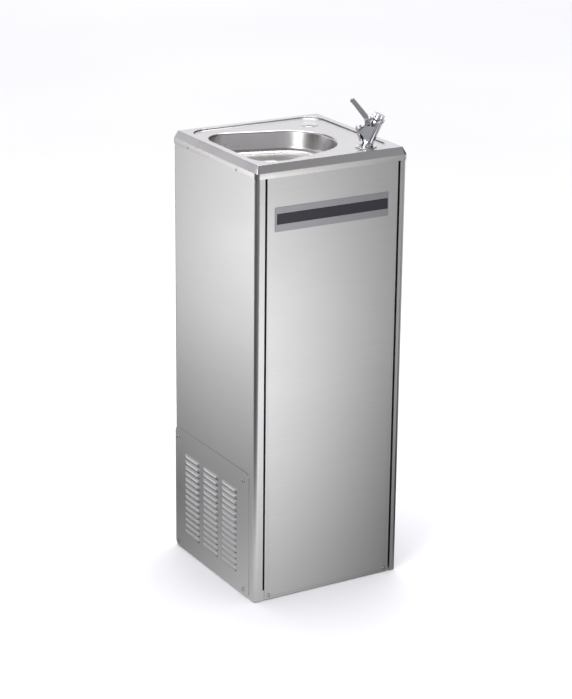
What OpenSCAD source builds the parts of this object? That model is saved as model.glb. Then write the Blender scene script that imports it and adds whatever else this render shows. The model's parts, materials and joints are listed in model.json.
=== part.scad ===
// Free-standing refrigerated drinking fountain: folded stainless cabinet, pressed
// receptor top with a D-shaped basin, self-closing bubbler tap and a cooling set inside.
// Millimetres. +Z up, front faces -Y, origin on the floor at the centre of the footprint.

/* [Cabinet] */
// Width of the cabinet over the side panels
body_w = 356; // [300:1:430]
// Depth of the cabinet, front column face to rear edge
body_d = 356; // [300:1:430]
// Height of the deck above the floor
deck_z = 950; // [790:1:1140]
// Thickness of the folded sheet
sheet_t = 1.2; // [0.9:0.1:1.5]
// Outer radius of the two front corners
corner_r = 9; // [6:0.5:10]
// Width of the left front column
col_left_w = 20.4; // [16:0.2:26]
// Width of the right front column
col_right_w = 16; // [13:0.2:24]
// Depth of the folded returns at the front
return_d = 15; // [12:0.5:20]
// Shadow gap between left column and front panel
gap_left = 5.1; // [3:0.1:7]
// Shadow gap between right column and front panel
gap_right = 4.5; // [3:0.1:7]
// Depth of the rebate behind the cabinet for pipes and lead
rebate_d = 16; // [14:0.5:22]
// Height of the cabinet's lower edge above the floor
hem_z = 2; // [1:0.5:4]

/* [Receptor top] */
// How far the top overhangs the cabinet on each side
top_over = 1.5; // [1.3:0.1:2.5]
// Height of the upright skirt
skirt_h = 12; // [9:0.5:18]
// Fall of the bevel between deck and skirt
bevel_drop = 15; // [11:0.5:18]
// Run of the bevel between deck and skirt
bevel_run = 8.5; // [6:0.5:10]
// Radius of the deck's corners at the crease
crease_r = 1.5; // [1.2:0.1:2.5]
// Width of the raised border round the deck
border_w = 14.5; // [11:0.5:18]
// Depth of the recess inside the border
recess_depth = 3; // [2:0.5:4]
// Corner radius of the recess
recess_r = 38; // [30:1:46]

/* [Basin] */
// Cabinet edge to the basin's left lip
basin_left = 27; // [25:1:36]
// Cabinet edge to the basin's front lip
basin_front = 28; // [25:0.5:34]
// Cabinet edge to the basin's rear lip
basin_back = 58; // [44:0.5:60]
// Cabinet edge to the basin's rounded tip on the right
basin_right = 81.5; // [76:0.5:96]
// Radius of the two left corners
basin_corner_r = 54; // [53:1:62]
// Radius of the rolled lip
lip_r = 6; // [4:0.5:7]
// Draft of the wall from upright, degrees
wall_draft = 12; // [8:1:15]
// Length of the straight wall
wall_len = 28; // [20:1:36]
// Radius between wall and floor
floor_r = 16; // [10:1:17]
// Fall of the floor towards the waste, degrees
floor_slope = 5; // [3:0.5:7]
// Inset of the flat floor from the basin's edge
floor_inset = 50; // [44:1:50]
// Upper radius of the sump round the waste
sump_top_r = 44; // [40:1:48]
// Lower radius of the sump
sump_r = 32; // [31:0.5:36]
// Depth of the sump
sump_depth = 8; // [5:0.5:12]

/* [Tap] */
// Tap axis from the cabinet's right edge
tap_from_right = 70; // [62:1:76]
// Tap axis from the cabinet's front edge
tap_from_front = 50; // [44:1:54]
// Heading of the spout, degrees from +X
tap_turn = 147; // [135:1:160]
// Radius of the deck flange
flange_r = 22.5; // [19:0.5:25]
// Height of the deck flange
flange_h = 2.6; // [2:0.1:4]
// Radius of the valve barrel
barrel_r = 14; // [12.5:0.5:15]
// Length of the valve barrel
barrel_len = 55; // [52:1:60]
// Backward lean of the valve barrel, degrees
barrel_lean = 23; // [20:1:26]
// Radius of the spout arm
arm_r = 7; // [6:0.5:8]
// Forward lean of the spout arm, degrees
arm_lean = 18.5; // [15:0.5:22]
// Length of the spout arm to the centre of its rounded mouth
arm_len = 38; // [34:1:41]
// Radius of the valve stem
stem_r = 5; // [4:0.25:5.5]
// Running clearance of stem, pins and shafts
run_clear = 0.05; // [0.02:0.01:0.1]
// Width of the lever's paddle
paddle_w = 13; // [10:0.5:18]
// Radius of the threaded shank under the deck
shank_r = 9.5; // [8:0.25:10.5]
// Radius of the blanking plug's cap
plug_r = 19; // [16:0.5:22]

/* [Waste] */
// Outer radius of the waste pipe
waste_r = 16; // [14:0.5:17]
// Height of the waste outlet below the deck
waste_drop = 260; // [200:5:300]
// Waste's distance from the cabinet's centre line
waste_offset = 50; // [44:1:52]

/* [Panels] */
// Thickness of the nameplate
plate_t = 0.8; // [0.5:0.1:1.2]
// Width of the nameplate
plate_w = 269.5; // [200:0.5:270]
// Height of the nameplate
plate_h = 51; // [40:1:60]
// Width of the dark band on the nameplate
band_w = 263.5; // [190:0.5:264]
// Height of the dark band
band_h = 22.5; // [18:0.5:26]
// Top of the nameplate below the deck
plate_drop = 89; // [70:1:120]
// Length of one louvre
louvre_len = 65; // [50:1:68]
// Louvre columns' pitch
louvre_pitch_y = 83.5; // [78:0.5:84]
// Louvre rows' pitch
louvre_pitch_z = 13.8; // [13:0.1:15]
// Rows of louvres
louvre_rows = 14; // [10:1:15]
// Height of one louvre
louvre_h = 9.4; // [8:0.1:10]
// How far a louvre stands proud
louvre_proj = 3.2; // [2.5:0.1:4]
// Height of the access panels
access_h = 283; // [260:1:300]
// Radius of a panel screw's head
screw_head_r = 5.2; // [4.5:0.1:6]
// Radius of a panel screw's shank
screw_r = 2; // [1.5:0.1:2.4]

/* [Base and feet] */
// Thickness of the base tray
base_t = 1.5; // [1.2:0.1:2]
// Height of the base tray's top
base_z = 16; // [15:0.5:18]
// Radius of a levelling foot's stud
foot_stud_r = 5; // [4:0.5:6]
// Radius of a levelling foot's pad
foot_pad_r = 15; // [12:0.5:18]
// Spacing of the floor-bolt holes across the cabinet
floor_bolt_x = 200; // [180:1:220]
// Spacing of the floor-bolt holes front to back
floor_bolt_y = 236; // [210:1:240]

/* [Cooling set] */
// Radius of the compressor's shell
comp_r = 58; // [50:1:62]
// Height of the compressor's shell
comp_h = 150; // [130:1:170]
// Radius of the chilled-water tank
tank_r = 58; // [52:1:60]
// Height of the chilled-water tank
tank_h = 180; // [150:1:185]
// Wall of the tank's foam jacket
foam_t = 14; // [10:1:16]
// Radius of the evaporator tube
evap_r = 4; // [3:0.25:4.5]
// Height and length of the finned condenser block
fin_block = 180; // [150:1:190]
// Depth of the finned condenser block
fin_depth = 26; // [20:1:30]
// Radius of the fan's blades
fan_r = 46; // [36:1:48]
// Radius of the refrigerant tubes
line_r = 4; // [3:0.25:4.5]

/* [Hidden] */
$fn = 48;
eps = 0.01;

// Half sizes and heights of the cabinet
hx = body_w / 2;
hy = body_d / 2;
recess_z = deck_z - recess_depth;
skirt_top_z = deck_z - bevel_drop;
skirt_low_z = skirt_top_z - skirt_h;
panel_top_z = skirt_top_z - 2;
rear_y = hy - rebate_d;
face_in = 0.6;
face_y = -hy + face_in;
flange_w = 14;
inner_flange = 14;

// Receptor: centres of the corner sweeps
rim_r = crease_r + bevel_run;
rim_cx = hx + top_over - rim_r;
rim_cy = hy + top_over - rim_r;
step_w = 2.5;
recess_cx = rim_cx + crease_r - border_w - recess_r;
recess_cy = rim_cy + crease_r - border_w - recess_r;
bevel_angle = atan2(bevel_drop, bevel_run);

// Basin outline: two corner arcs on the left and one tip arc, joined by tangents
basin_y = (basin_front - basin_back) / 2;
basin_half = (body_d - basin_front - basin_back) / 2;
corner_x = -hx + basin_left + basin_corner_r;
corner_y = basin_half - basin_corner_r;
tip_end = hx - basin_right;
// Unit normal of the straight flanks, from a 7-24-25 triangle so that the swept pieces meet exactly
flank_n = [0.28, 0.96];
flank_a = atan2(flank_n[1], flank_n[0]);
tip_r = (basin_corner_r + flank_n[1] * corner_y - flank_n[0] * (tip_end - corner_x))
    / (1 - flank_n[0]);
tip_x = tip_end - tip_r;
flank_len = norm([tip_x - corner_x, corner_y] + (tip_r - basin_corner_r) * [flank_n[0], -flank_n[1]]);
wall_a = 90 - wall_draft;
arc_steps = 6;
wedge_reach = 200;
roll_end = [-lip_r * sin(wall_a), -lip_r + lip_r * cos(wall_a)];
wall_end = roll_end - wall_len * [cos(wall_a), sin(wall_a)];
fillet_c = wall_end + floor_r * [-sin(wall_a), cos(wall_a)];
fillet_end = fillet_c + floor_r * [sin(floor_slope), -cos(floor_slope)];
band_fall = (floor_inset + fillet_end[0]) * tan(floor_slope);
band_end = [-floor_inset, round(10 * (fillet_end[1] - band_fall)) / 10];
floor_z = recess_z + band_end[1];
sump_z = floor_z - sump_depth;
waste_x = -waste_offset;
waste_hole_r = waste_r + 4;

// Deck holes
tap_x = hx - tap_from_right;
tap_y = -hy + tap_from_front;
plug_y = 2 * basin_y - tap_y;
deck_hole_r = shank_r + 1;
plug_stem_r = 8;

// Front panel
fp_x0 = -hx + col_left_w + gap_left;
fp_x1 = hx - col_right_w - gap_right;
fp_z0 = hem_z + 1;
fp_z1 = skirt_low_z + 8;
front_screw_in = 10;
front_screw_z = 10;

// Access panels and louvres
acc_y0 = -hy + 23;
acc_y1 = hy - 4;
acc_z0 = hem_z + 1;
acc_z1 = acc_z0 + access_h;
acc_r = 12;
acc_screw_y = [acc_y0 + 22.5, acc_y1 - 13];
acc_screw_z = [acc_z0 + 12, acc_z1 - 22];
louvre_cy = (acc_y0 + acc_y1) / 2 + 3.3;
louvre_z0 = acc_z0 + 42;
window_h = louvre_pitch_z * (louvre_rows - 1) + louvre_h;

// Rear panel
back_screw_x = hx - flange_w - 7;
back_screw_z = [0.04, 0.32, 0.62, 0.92] * panel_top_z;
inlet_x = -hx + 75;
inlet_z = deck_z - 310;
inlet_r = 10.4;
inlet_hex_r = 15;
inlet_flange = 2;
gland_x = hx - 60;
gland_z = 70;
gland_r = 11;
cord_hole_r = 4.5;
waste_z = deck_z - waste_drop;

// Base tray and feet
foot_x = hx - 30;
foot_y = hy - 36;
foot_hole_r = foot_stud_r + 0.6;
foot_nut_h = 8;
foot_pad_h = 6;
bolt_hole_r = 5;
tray_front_y = -hy + return_d + 1;
tongue_y = face_y + sheet_t;

// Cooling set places, from the walls that each piece stands near
shelf_t = 1.2;
shelf_z = deck_z - 350;
tank_x = hx - 108;
tank_y = hy - 133;
helix_steps = 16;
coil_r = ceil(10 * (tank_r + evap_r + 0.4) / cos(180 / helix_steps)) / 10;
foam_in_r = coil_r + evap_r + 0.6;
foam_r = foam_in_r + foam_t;
tank_z = shelf_z + foam_t + 6;
foam_h = tank_h + 2 * foam_t + 12;
stub_z = shelf_z + foam_h + 8;
stub_r = 5;
comp_x = hx - 95;
comp_y = hy - 133;
grommet_h = 12;
comp_z = base_z + grommet_h;
comp_foot = [58, 44];
comp_bolt_r = 3;
fin_x = -hx + sheet_t + 8;
fin_z = base_z + 14;
fin_t = 0.6;
fin_count = 24;
coil_x = fin_x + fin_depth / 2;
coil_passes = 8;
coil_pitch = fin_block / coil_passes;
coil_y = fin_block / 2 + 4;
shroud_x = fin_x + fin_depth + 3;
fan_z = fin_z + fin_block / 2;
throat_r = fan_r + 4;
throat_d = 14;
bridge_x = shroud_x + throat_d + 8;
motor_r = 27;
motor_len = 42;
shaft_r = 3;
drier_r = 9.5;
drier_y = -coil_y - coil_pitch / 2 - line_r - drier_r - 2;
drier_z = fin_z + 36;
drier_h = 88;
thermo_size = [40, 24, 56];
thermo_x = foot_x - 2 * foot_stud_r - thermo_size[0] / 2 - 4;
thermo_y = -hy + 28;
knob_z = base_z + 32;
knob_r = 14;
knob_h = 10;
water_r = 4;
run_z = stub_z + 24;
bend_r = 10;

// Screws, vents and waste
skirt_screw_r = 1.6;
skirt_screw_head_r = 2.6;
skirt_screw_z = skirt_low_z + 3.4;
skirt_screw_y = [-hy + 80, hy - 68];
vent_rows = 10;
vent_len = 60;
vent_slot = 5;
vent_pitch_x = 45;
vent_pitch_z = 15;
vent_z = 110;
strainer_r = 25;
waste_flange_r = sump_r - 1.5;
waste_flange_h = 4;
waste_tube_r = waste_r + 2.6;
waste_tube_len = 52;
coil_top = fin_z + coil_pitch * (coil_passes - 0.5);
coil_z = tank_z + 14;
coil_h = tank_h - 36;

// Tap: barrel and arm axes in the tap's own frame, X towards the basin
barrel_z0 = 6;
arm_x0 = 3;
arm_z0 = 4;
barrel_dir = [-sin(barrel_lean), 0, cos(barrel_lean)];
barrel_fwd = [cos(barrel_lean), 0, sin(barrel_lean)];
arm_dir = [sin(arm_lean), 0, cos(arm_lean)];
nut_low = barrel_len;
nut_collar_r = barrel_r + 1.4;
nut_collar_h = 6.5;
nut_top_r = barrel_r - 2.2;
nut_h = 14;
nut_bore_r = stem_r + 1.5;
nut_cap = 5;
stem_low = 18;
stem_top = barrel_len + 2;
chamber_low = 16;
tongue_l = barrel_len - 4.5;
tongue_half = 2;
pivot = [-1, 0, 55];
pivot_r = 2;
hub_r = 4.5;
lever_half = 3;
lever_side = 0.4;
cheek_half = 9;
spring_wire = 0.45;
spring_turns = 4;
inlay_t = 1;
inlay_inset = 0.25;
shank_len = 44;

// Side plane of the web, tangent to barrel and arm: y = pa - pb*x - pc*z
plane_ratio = tan(barrel_lean);
arm_mid = arm_x0 + 27 * tan(arm_lean);
side_in = 0.5;
pb = (barrel_r - arm_r) / (arm_mid + plane_ratio * (31 - barrel_z0));
pc = pb * plane_ratio;
pa = barrel_r - side_in + pc * barrel_z0;

function unit(v) = v / norm(v);
function arc2(c, r, a0, a1, n) =
    [for (i = [0:n]) c + r * [cos(a0 + (a1 - a0) * i / n), sin(a0 + (a1 - a0) * i / n)]];
function barrel_at(l, p) = [0, 0, barrel_z0] + l * barrel_dir + p * barrel_fwd;
function arm_at(l, p) = [arm_x0, 0, arm_z0] + l * arm_dir + p * [cos(arm_lean), 0, -sin(arm_lean)];
function xz(v) = [v[0], v[2]];

// Outlines of the tap's web and its inlays, in the tap's XZ plane
web_points = [xz(barrel_at(4, 0)), xz(arm_at(4, 0)), xz(arm_at(arm_len - 4, 3)), [2.6, 47.5],
    [-5, 49], xz(barrel_at(barrel_len - 8, 2))];
inlay_points = [xz(arm_at(arm_len - 7, 0.5)), [3.2, 45.4], [-6, 46.4], xz(barrel_at(44.5, -1.6)),
    xz(barrel_at(13, -2.4)), [-1.2, 14.6]];

// ---------- shared shapes ----------

module rounded_box(w, h, r) {
    square([w - 2 * r, h], center = true);
    square([w, h - 2 * r], center = true);
    for (sx = [-1, 1], sy = [-1, 1])
        translate([sx * (w / 2 - r), sy * (h / 2 - r)]) circle(r);
}

// Sweeps a section round a rounded rectangle whose corner centres are at (cx, cy)
module rect_sweep(cx, cy) {
    for (side = [0:3]) {
        out = side % 2 == 0 ? cx : cy;
        along = side % 2 == 0 ? cy : cx;
        rotate([0, 0, 90 * side]) translate([out, 0, 0]) rotate([90, 0, 0])
            linear_extrude(2 * along, center = true) children();
        rotate([0, 0, 90 * side]) translate([out, along, 0])
            rotate_extrude(angle = 90) children();
    }
}

// A straight-and-elbow tube through points whose runs meet at right angles
module pipe_run(points, r, bend) {
    last = len(points) - 1;
    for (i = [0:last - 1]) {
        d = unit(points[i + 1] - points[i]);
        from = points[i] + d * (i == 0 ? 0 : bend);
        to = points[i + 1] - d * (i == last - 1 ? 0 : bend);
        translate(from) rotate([0, acos(d[2]), atan2(d[1], d[0])])
            cylinder(r = r, h = norm(to - from));
    }
    for (i = [1:last - 1]) {
        d1 = unit(points[i] - points[i - 1]);
        d2 = unit(points[i + 1] - points[i]);
        c = points[i] - d1 * bend + d2 * bend;
        n = cross(d1, d2);
        multmatrix([[-d2[0], d1[0], n[0], c[0]], [-d2[1], d1[1], n[1], c[1]],
                    [-d2[2], d1[2], n[2], c[2]], [0, 0, 0, 1]])
            rotate_extrude(angle = 90) translate([bend, 0]) circle(r);
    }
}

// A helical wire on +Z from z = 0 to z = height
module helix(coil, wire, height, turns, steps = helix_steps, sides = 6) {
    count = turns * steps;
    points = [for (i = [0:count], j = [0:sides - 1])
        let (a = 360 * i / steps, b = 360 * j / sides, rr = coil + wire * cos(b))
        [rr * cos(a), rr * sin(a), height * i / count + wire * sin(b)]];
    walls = [for (i = [0:count - 1], j = [0:sides - 1])
        let (k = (j + 1) % sides)
        [i * sides + j, i * sides + k, (i + 1) * sides + k, (i + 1) * sides + j]];
    first = [for (j = [sides - 1:-1:0]) j];
    end = [for (j = [0:sides - 1]) count * sides + j];
    polyhedron(points, concat(walls, [first, end]));
}

module hex_ring(af, h, bore) {
    difference() {
        cylinder(r = af / sqrt(3), h = h, $fn = 6);
        translate([0, 0, -1]) cylinder(r = bore, h = h + 2);
    }
}

// A pan-head screw: head above z = 0, shank below, cross recess in the head
module pan_screw(head_r, head_h, r, l) {
    difference() {
        union() {
            rotate_extrude() polygon([[0, 0], [head_r, 0], [head_r, head_h * 0.4],
                [head_r * 0.86, head_h * 0.8], [head_r * 0.55, head_h], [0, head_h]]);
            translate([0, 0, -l]) cylinder(r = r, h = l + eps);
        }
        for (a = [0, 90]) rotate([0, 0, a])
            translate([-head_r * 0.5, -head_r * 0.09, head_h * 0.45])
                cube([head_r, head_r * 0.18, head_h]);
    }
}

module tap_frame() {
    translate([tap_x, tap_y, recess_z]) rotate([0, 0, tap_turn]) children();
}

module barrel_frame() {
    translate([0, 0, barrel_z0]) rotate([0, -barrel_lean, 0]) children();
}

module arm_frame() {
    translate([arm_x0, 0, arm_z0]) rotate([0, arm_lean, 0]) children();
}

// An XZ outline of the tap, extruded over y = -half to half
module tap_slab(points, half) {
    rotate([90, 0, 0]) linear_extrude(2 * half, center = true) polygon(points);
}

// ---------- receptor top ----------

module rim_section() {
    shift_top = sheet_t * tan(bevel_angle / 2);
    shift_low = sheet_t * tan(45 - bevel_angle / 2);
    polygon([[rim_r, skirt_low_z], [rim_r, skirt_top_z], [crease_r, deck_z], [0, deck_z],
        [0, deck_z - sheet_t], [crease_r - shift_top, deck_z - sheet_t],
        [rim_r - sheet_t, skirt_top_z - shift_low], [rim_r - sheet_t, skirt_low_z]]);
}

module step_section() {
    polygon([[recess_r, deck_z], [recess_r - step_w, recess_z],
        [recess_r - step_w, recess_z - sheet_t], [recess_r, deck_z - sheet_t]]);
}

// Upper line of the basin wall, with the sheet's thickness added by offset arcs
function basin_line(t) = concat(
    arc2([0, -lip_r], lip_r - t, 90, 90 + wall_a, arc_steps),
    arc2(fillet_c, floor_r + t, wall_a - 90, floor_slope - 90, arc_steps),
    [[band_end[0], band_end[1] - t]]);

module basin_section() {
    low = basin_line(sheet_t);
    last = len(low) - 1;
    polygon(concat(basin_line(0), [for (i = [last:-1:0]) low[i]]));
}

// Wedges that cut a ring to the part of it that is swept, with the ring's centre at their tip
module corner_wedge() {
    polygon([[0, 0], wedge_reach * flank_n, [0, 2 * wedge_reach], [-wedge_reach, wedge_reach],
        [-wedge_reach, 0]]);
}

module tip_wedge() {
    polygon([[0, 0], wedge_reach * [flank_n[0], -flank_n[1]], wedge_reach * [1, -flank_n[1]],
        wedge_reach * [1, flank_n[1]], wedge_reach * flank_n]);
}

module basin_area(inset) {
    cr = basin_corner_r - inset;
    tr = tip_r - inset;
    low_n = [flank_n[0], -flank_n[1]];
    polygon([[corner_x - cr, corner_y], [corner_x, corner_y], [corner_x, corner_y] + cr * flank_n,
        [tip_x, 0] + tr * flank_n, [tip_x, 0], [tip_x, 0] + tr * low_n,
        [corner_x, -corner_y] + cr * low_n, [corner_x, -corner_y], [corner_x - cr, -corner_y]]);
    for (s = [0, 1]) mirror([0, s]) translate([corner_x, corner_y]) intersection() {
        circle(cr);
        corner_wedge();
    }
    translate([tip_x, 0]) intersection() {
        circle(tr);
        tip_wedge();
    }
}

// The basin's section revolved at radius r, between the sides of a wedge
module basin_arc(r) {
    intersection() {
        rotate_extrude() translate([r, recess_z]) basin_section();
        translate([0, 0, floor_z - 10]) linear_extrude(deck_z - floor_z + 20) children();
    }
}

module basin_wall() {
    for (s = [0, 1]) mirror([0, s, 0]) translate([corner_x, corner_y, 0]) {
        basin_arc(basin_corner_r) corner_wedge();
        rotate([0, 0, flank_a]) translate([basin_corner_r, 0, 0]) rotate([90, 0, 0])
            linear_extrude(flank_len) translate([0, recess_z]) basin_section();
    }
    translate([tip_x, 0, 0]) basin_arc(tip_r) tip_wedge();
    translate([corner_x - basin_corner_r, 0, 0]) rotate([0, 0, 180]) rotate([90, 0, 0])
        linear_extrude(2 * corner_y, center = true) translate([0, recess_z]) basin_section();
}

module receptor_top() {
    color([0.90, 0.90, 0.93]) difference() {
        union() {
            rect_sweep(rim_cx, rim_cy) rim_section();
            translate([0, 0, deck_z - sheet_t]) linear_extrude(sheet_t) difference() {
                square([2 * rim_cx, 2 * rim_cy], center = true);
                rounded_box(2 * (recess_cx + recess_r), 2 * (recess_cy + recess_r), recess_r);
            }
            rect_sweep(recess_cx, recess_cy) step_section();
            translate([0, 0, recess_z - sheet_t]) linear_extrude(sheet_t) difference() {
                rounded_box(2 * (recess_cx + recess_r - step_w),
                    2 * (recess_cy + recess_r - step_w), recess_r - step_w);
                translate([0, basin_y]) basin_area(0);
                translate([tap_x, tap_y]) circle(deck_hole_r);
                translate([tap_x, plug_y]) circle(plug_stem_r + 1);
            }
            translate([0, basin_y, 0]) basin_wall();
            translate([0, basin_y, floor_z - sheet_t]) linear_extrude(sheet_t) difference() {
                basin_area(-band_end[0]);
                translate([waste_x, 0]) circle(sump_top_r);
            }
            translate([waste_x, basin_y, 0]) rotate_extrude() polygon([[sump_top_r, floor_z],
                [sump_r, sump_z], [waste_hole_r, sump_z], [waste_hole_r, sump_z - sheet_t],
                [sump_r + 0.5, sump_z - sheet_t], [sump_top_r, floor_z - sheet_t]]);
        }
        for (s = [-1, 1], y = skirt_screw_y) translate([s * (hx - 5), y, skirt_screw_z])
            rotate([0, s * 90, 0]) cylinder(r = skirt_screw_r + 0.2, h = 10);
    }
}

module skirt_screws() {
    color([0.70, 0.70, 0.70]) for (s = [-1, 1], y = skirt_screw_y)
        translate([s * (hx + top_over), y, skirt_screw_z]) rotate([0, s * 90, 0])
            pan_screw(skirt_screw_head_r, 1.2, skirt_screw_r, 7);
}

// ---------- cabinet ----------

// Plan section of the left side panel; col_w is the width of its front column
module side_section(col_w) {
    translate([-hx, -hy + corner_r]) square([sheet_t, body_d - 2 * corner_r]);
    for (s = [-1, 1]) translate([-hx + corner_r, s * (hy - corner_r)]) difference() {
        intersection() {
            circle(corner_r);
            translate([-corner_r, s > 0 ? 0 : -corner_r]) square(corner_r);
        }
        circle(corner_r - sheet_t);
    }
    translate([-hx + corner_r, -hy]) square([col_w - corner_r, sheet_t]);
    translate([-hx + col_w - sheet_t, -hy]) square([sheet_t, return_d]);
    translate([-hx + corner_r, hy - sheet_t]) square([flange_w - corner_r, sheet_t]);
    translate([-hx + flange_w - sheet_t, rear_y - sheet_t])
        square([sheet_t, rebate_d + sheet_t]);
    translate([-hx + flange_w - sheet_t, rear_y - sheet_t])
        square([inner_flange + sheet_t, sheet_t]);
}

module side_panel(col_w) {
    difference() {
        translate([0, 0, hem_z]) linear_extrude(panel_top_z - hem_z) side_section(col_w);
        for (c = [-1:1]) translate([-hx - 1, louvre_cy + c * louvre_pitch_y - louvre_len / 2, louvre_z0])
            cube([sheet_t + 2, louvre_len, window_h]);
        for (y = acc_screw_y, z = acc_screw_z) translate([-hx - 1, y, z])
            rotate([0, 90, 0]) cylinder(r = screw_r + 0.1, h = sheet_t + 2);
        for (y = skirt_screw_y) translate([-hx - 1, y, skirt_screw_z])
            rotate([0, 90, 0]) cylinder(r = skirt_screw_r + 0.1, h = sheet_t + 2);
        for (z = back_screw_z) translate([-back_screw_x, rear_y - sheet_t - 1, z])
            rotate([-90, 0, 0]) cylinder(r = screw_r + 0.1, h = sheet_t + 2);
    }
}

module left_side_panel() {
    color([0.80, 0.80, 0.82]) side_panel(col_left_w);
}

module right_side_panel() {
    color([0.80, 0.80, 0.82]) mirror([1, 0, 0]) side_panel(col_right_w);
}

module back_panel() {
    edge = hx - flange_w - 0.5;
    color([0.68, 0.69, 0.70]) difference() {
        translate([-edge, rear_y, hem_z + 1]) cube([2 * edge, sheet_t, panel_top_z - hem_z - 2]);
        for (s = [-1, 1], z = back_screw_z) translate([s * back_screw_x, rear_y - 1, z])
            rotate([-90, 0, 0]) cylinder(r = screw_r + 0.2, h = sheet_t + 2);
        translate([inlet_x, rear_y - 1, inlet_z]) rotate([-90, 0, 0])
            cylinder(r = inlet_r + 0.2, h = sheet_t + 2);
        translate([waste_x, rear_y - 1, waste_z]) rotate([-90, 0, 0])
            cylinder(r = waste_r + 1, h = sheet_t + 2);
        translate([gland_x, rear_y - 1, gland_z]) rotate([-90, 0, 0])
            cylinder(r = gland_r + 0.2, h = sheet_t + 2);
        for (i = [0:vent_rows - 1], c = [-1, 1])
            translate([c * vent_pitch_x - vent_len / 2, rear_y - 1, vent_z + i * vent_pitch_z])
                cube([vent_len, sheet_t + 2, vent_slot]);
    }
}

module front_panel() {
    w = fp_x1 - fp_x0;
    color([0.78, 0.77, 0.77]) difference() {
        union() {
            translate([fp_x0, face_y, fp_z0]) cube([w, sheet_t, fp_z1 - fp_z0]);
            for (x = [fp_x0, fp_x1 - sheet_t]) translate([x, face_y, fp_z0])
                cube([sheet_t, return_d, fp_z1 - fp_z0]);
        }
        for (x = [fp_x0 + front_screw_in, fp_x1 - front_screw_in])
            translate([x, face_y - 1, front_screw_z]) rotate([-90, 0, 0])
                cylinder(r = screw_r + 0.2, h = sheet_t + 2);
    }
}

module locating_tab() {
    col_x = -hx + col_left_w;
    color([0.85, 0.85, 0.86]) translate([col_x, face_y + 1, hem_z]) {
        cube([gap_left - 0.3, sheet_t, 23]);
        cube([sheet_t, 11, 23]);
    }
}

module nameplate() {
    color([0.64, 0.64, 0.67]) translate([0, face_y, deck_z - plate_drop - plate_h / 2])
        rotate([90, 0, 0]) linear_extrude(plate_t) rounded_box(plate_w, plate_h, 2.5);
}

module nameplate_band() {
    color([0.28, 0.28, 0.33]) translate([1.2, face_y - plate_t, deck_z - plate_drop - plate_h / 2 + 0.8])
        rotate([90, 0, 0]) linear_extrude(0.25) rounded_box(band_w, band_h, 1);
}

// One pressed louvre on the left panel, its lower edge at z = 0, centred on y = 0
module louvre() {
    w = louvre_len;
    rotate([90, 0, 0]) translate([0, 0, -w / 2]) difference() {
        linear_extrude(w) polygon([[0, louvre_h], [-louvre_proj * 0.55, louvre_h * 0.72],
            [-louvre_proj, louvre_h * 0.3], [-louvre_proj, 0], [0, 0]]);
        translate([0, 0, 1]) linear_extrude(w - 2) polygon([[eps, louvre_h - 1.4],
            [-louvre_proj * 0.55 + 0.7, louvre_h * 0.72 - 0.6],
            [-louvre_proj + 0.9, louvre_h * 0.3], [-louvre_proj + 0.9, -1], [eps, -1]]);
    }
}

module access_panel() {
    w = acc_y1 - acc_y0;
    difference() {
        translate([-hx, (acc_y0 + acc_y1) / 2, (acc_z0 + acc_z1) / 2]) rotate([0, -90, 0])
            linear_extrude(sheet_t) rounded_box(access_h, w, acc_r);
        for (c = [-1:1], i = [0:louvre_rows - 1])
            translate([-hx - sheet_t - 1, louvre_cy + c * louvre_pitch_y - louvre_len / 2 + 1,
                    louvre_z0 + i * louvre_pitch_z + 0.4])
                cube([sheet_t + 2, louvre_len - 2, louvre_h - 1.8]);
        for (y = acc_screw_y, z = acc_screw_z) translate([-hx - sheet_t - 1, y, z])
            rotate([0, 90, 0]) cylinder(r = screw_r + 0.2, h = sheet_t + 2);
    }
    for (c = [-1:1], i = [0:louvre_rows - 1])
        translate([-hx - sheet_t, louvre_cy + c * louvre_pitch_y, louvre_z0 + i * louvre_pitch_z])
            louvre();
}

module left_access_panel() {
    color([0.62, 0.62, 0.64]) access_panel();
}

module right_access_panel() {
    color([0.62, 0.62, 0.64]) mirror([1, 0, 0]) access_panel();
}

module panel_screws() {
    color([0.72, 0.72, 0.72]) {
        for (s = [-1, 1], y = acc_screw_y, z = acc_screw_z)
            translate([s * (hx + sheet_t), y, z]) rotate([0, s * 90, 0])
                pan_screw(screw_head_r, 2, screw_r, 8);
        for (x = [fp_x0 + front_screw_in, fp_x1 - front_screw_in])
            translate([x, face_y, front_screw_z]) rotate([90, 0, 0])
                pan_screw(screw_head_r, 2, screw_r, 8);
        for (s = [-1, 1], z = back_screw_z) translate([s * back_screw_x, rear_y + sheet_t, z])
            rotate([-90, 0, 0]) pan_screw(screw_head_r, 2, screw_r, 8);
    }
}

// Plan outline of the base tray, drawn in by inset
module tray_outline(inset) {
    main_w = body_w - 2 * sheet_t - 2 * inset;
    translate([-main_w / 2, tray_front_y + inset])
        square([main_w, rear_y - sheet_t - tray_front_y - 2 * inset]);
    translate([fp_x0 + sheet_t + 1 + inset, tongue_y + inset])
        square([fp_x1 - fp_x0 - 2 * sheet_t - 2 - 2 * inset, return_d + 20]);
}

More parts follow.
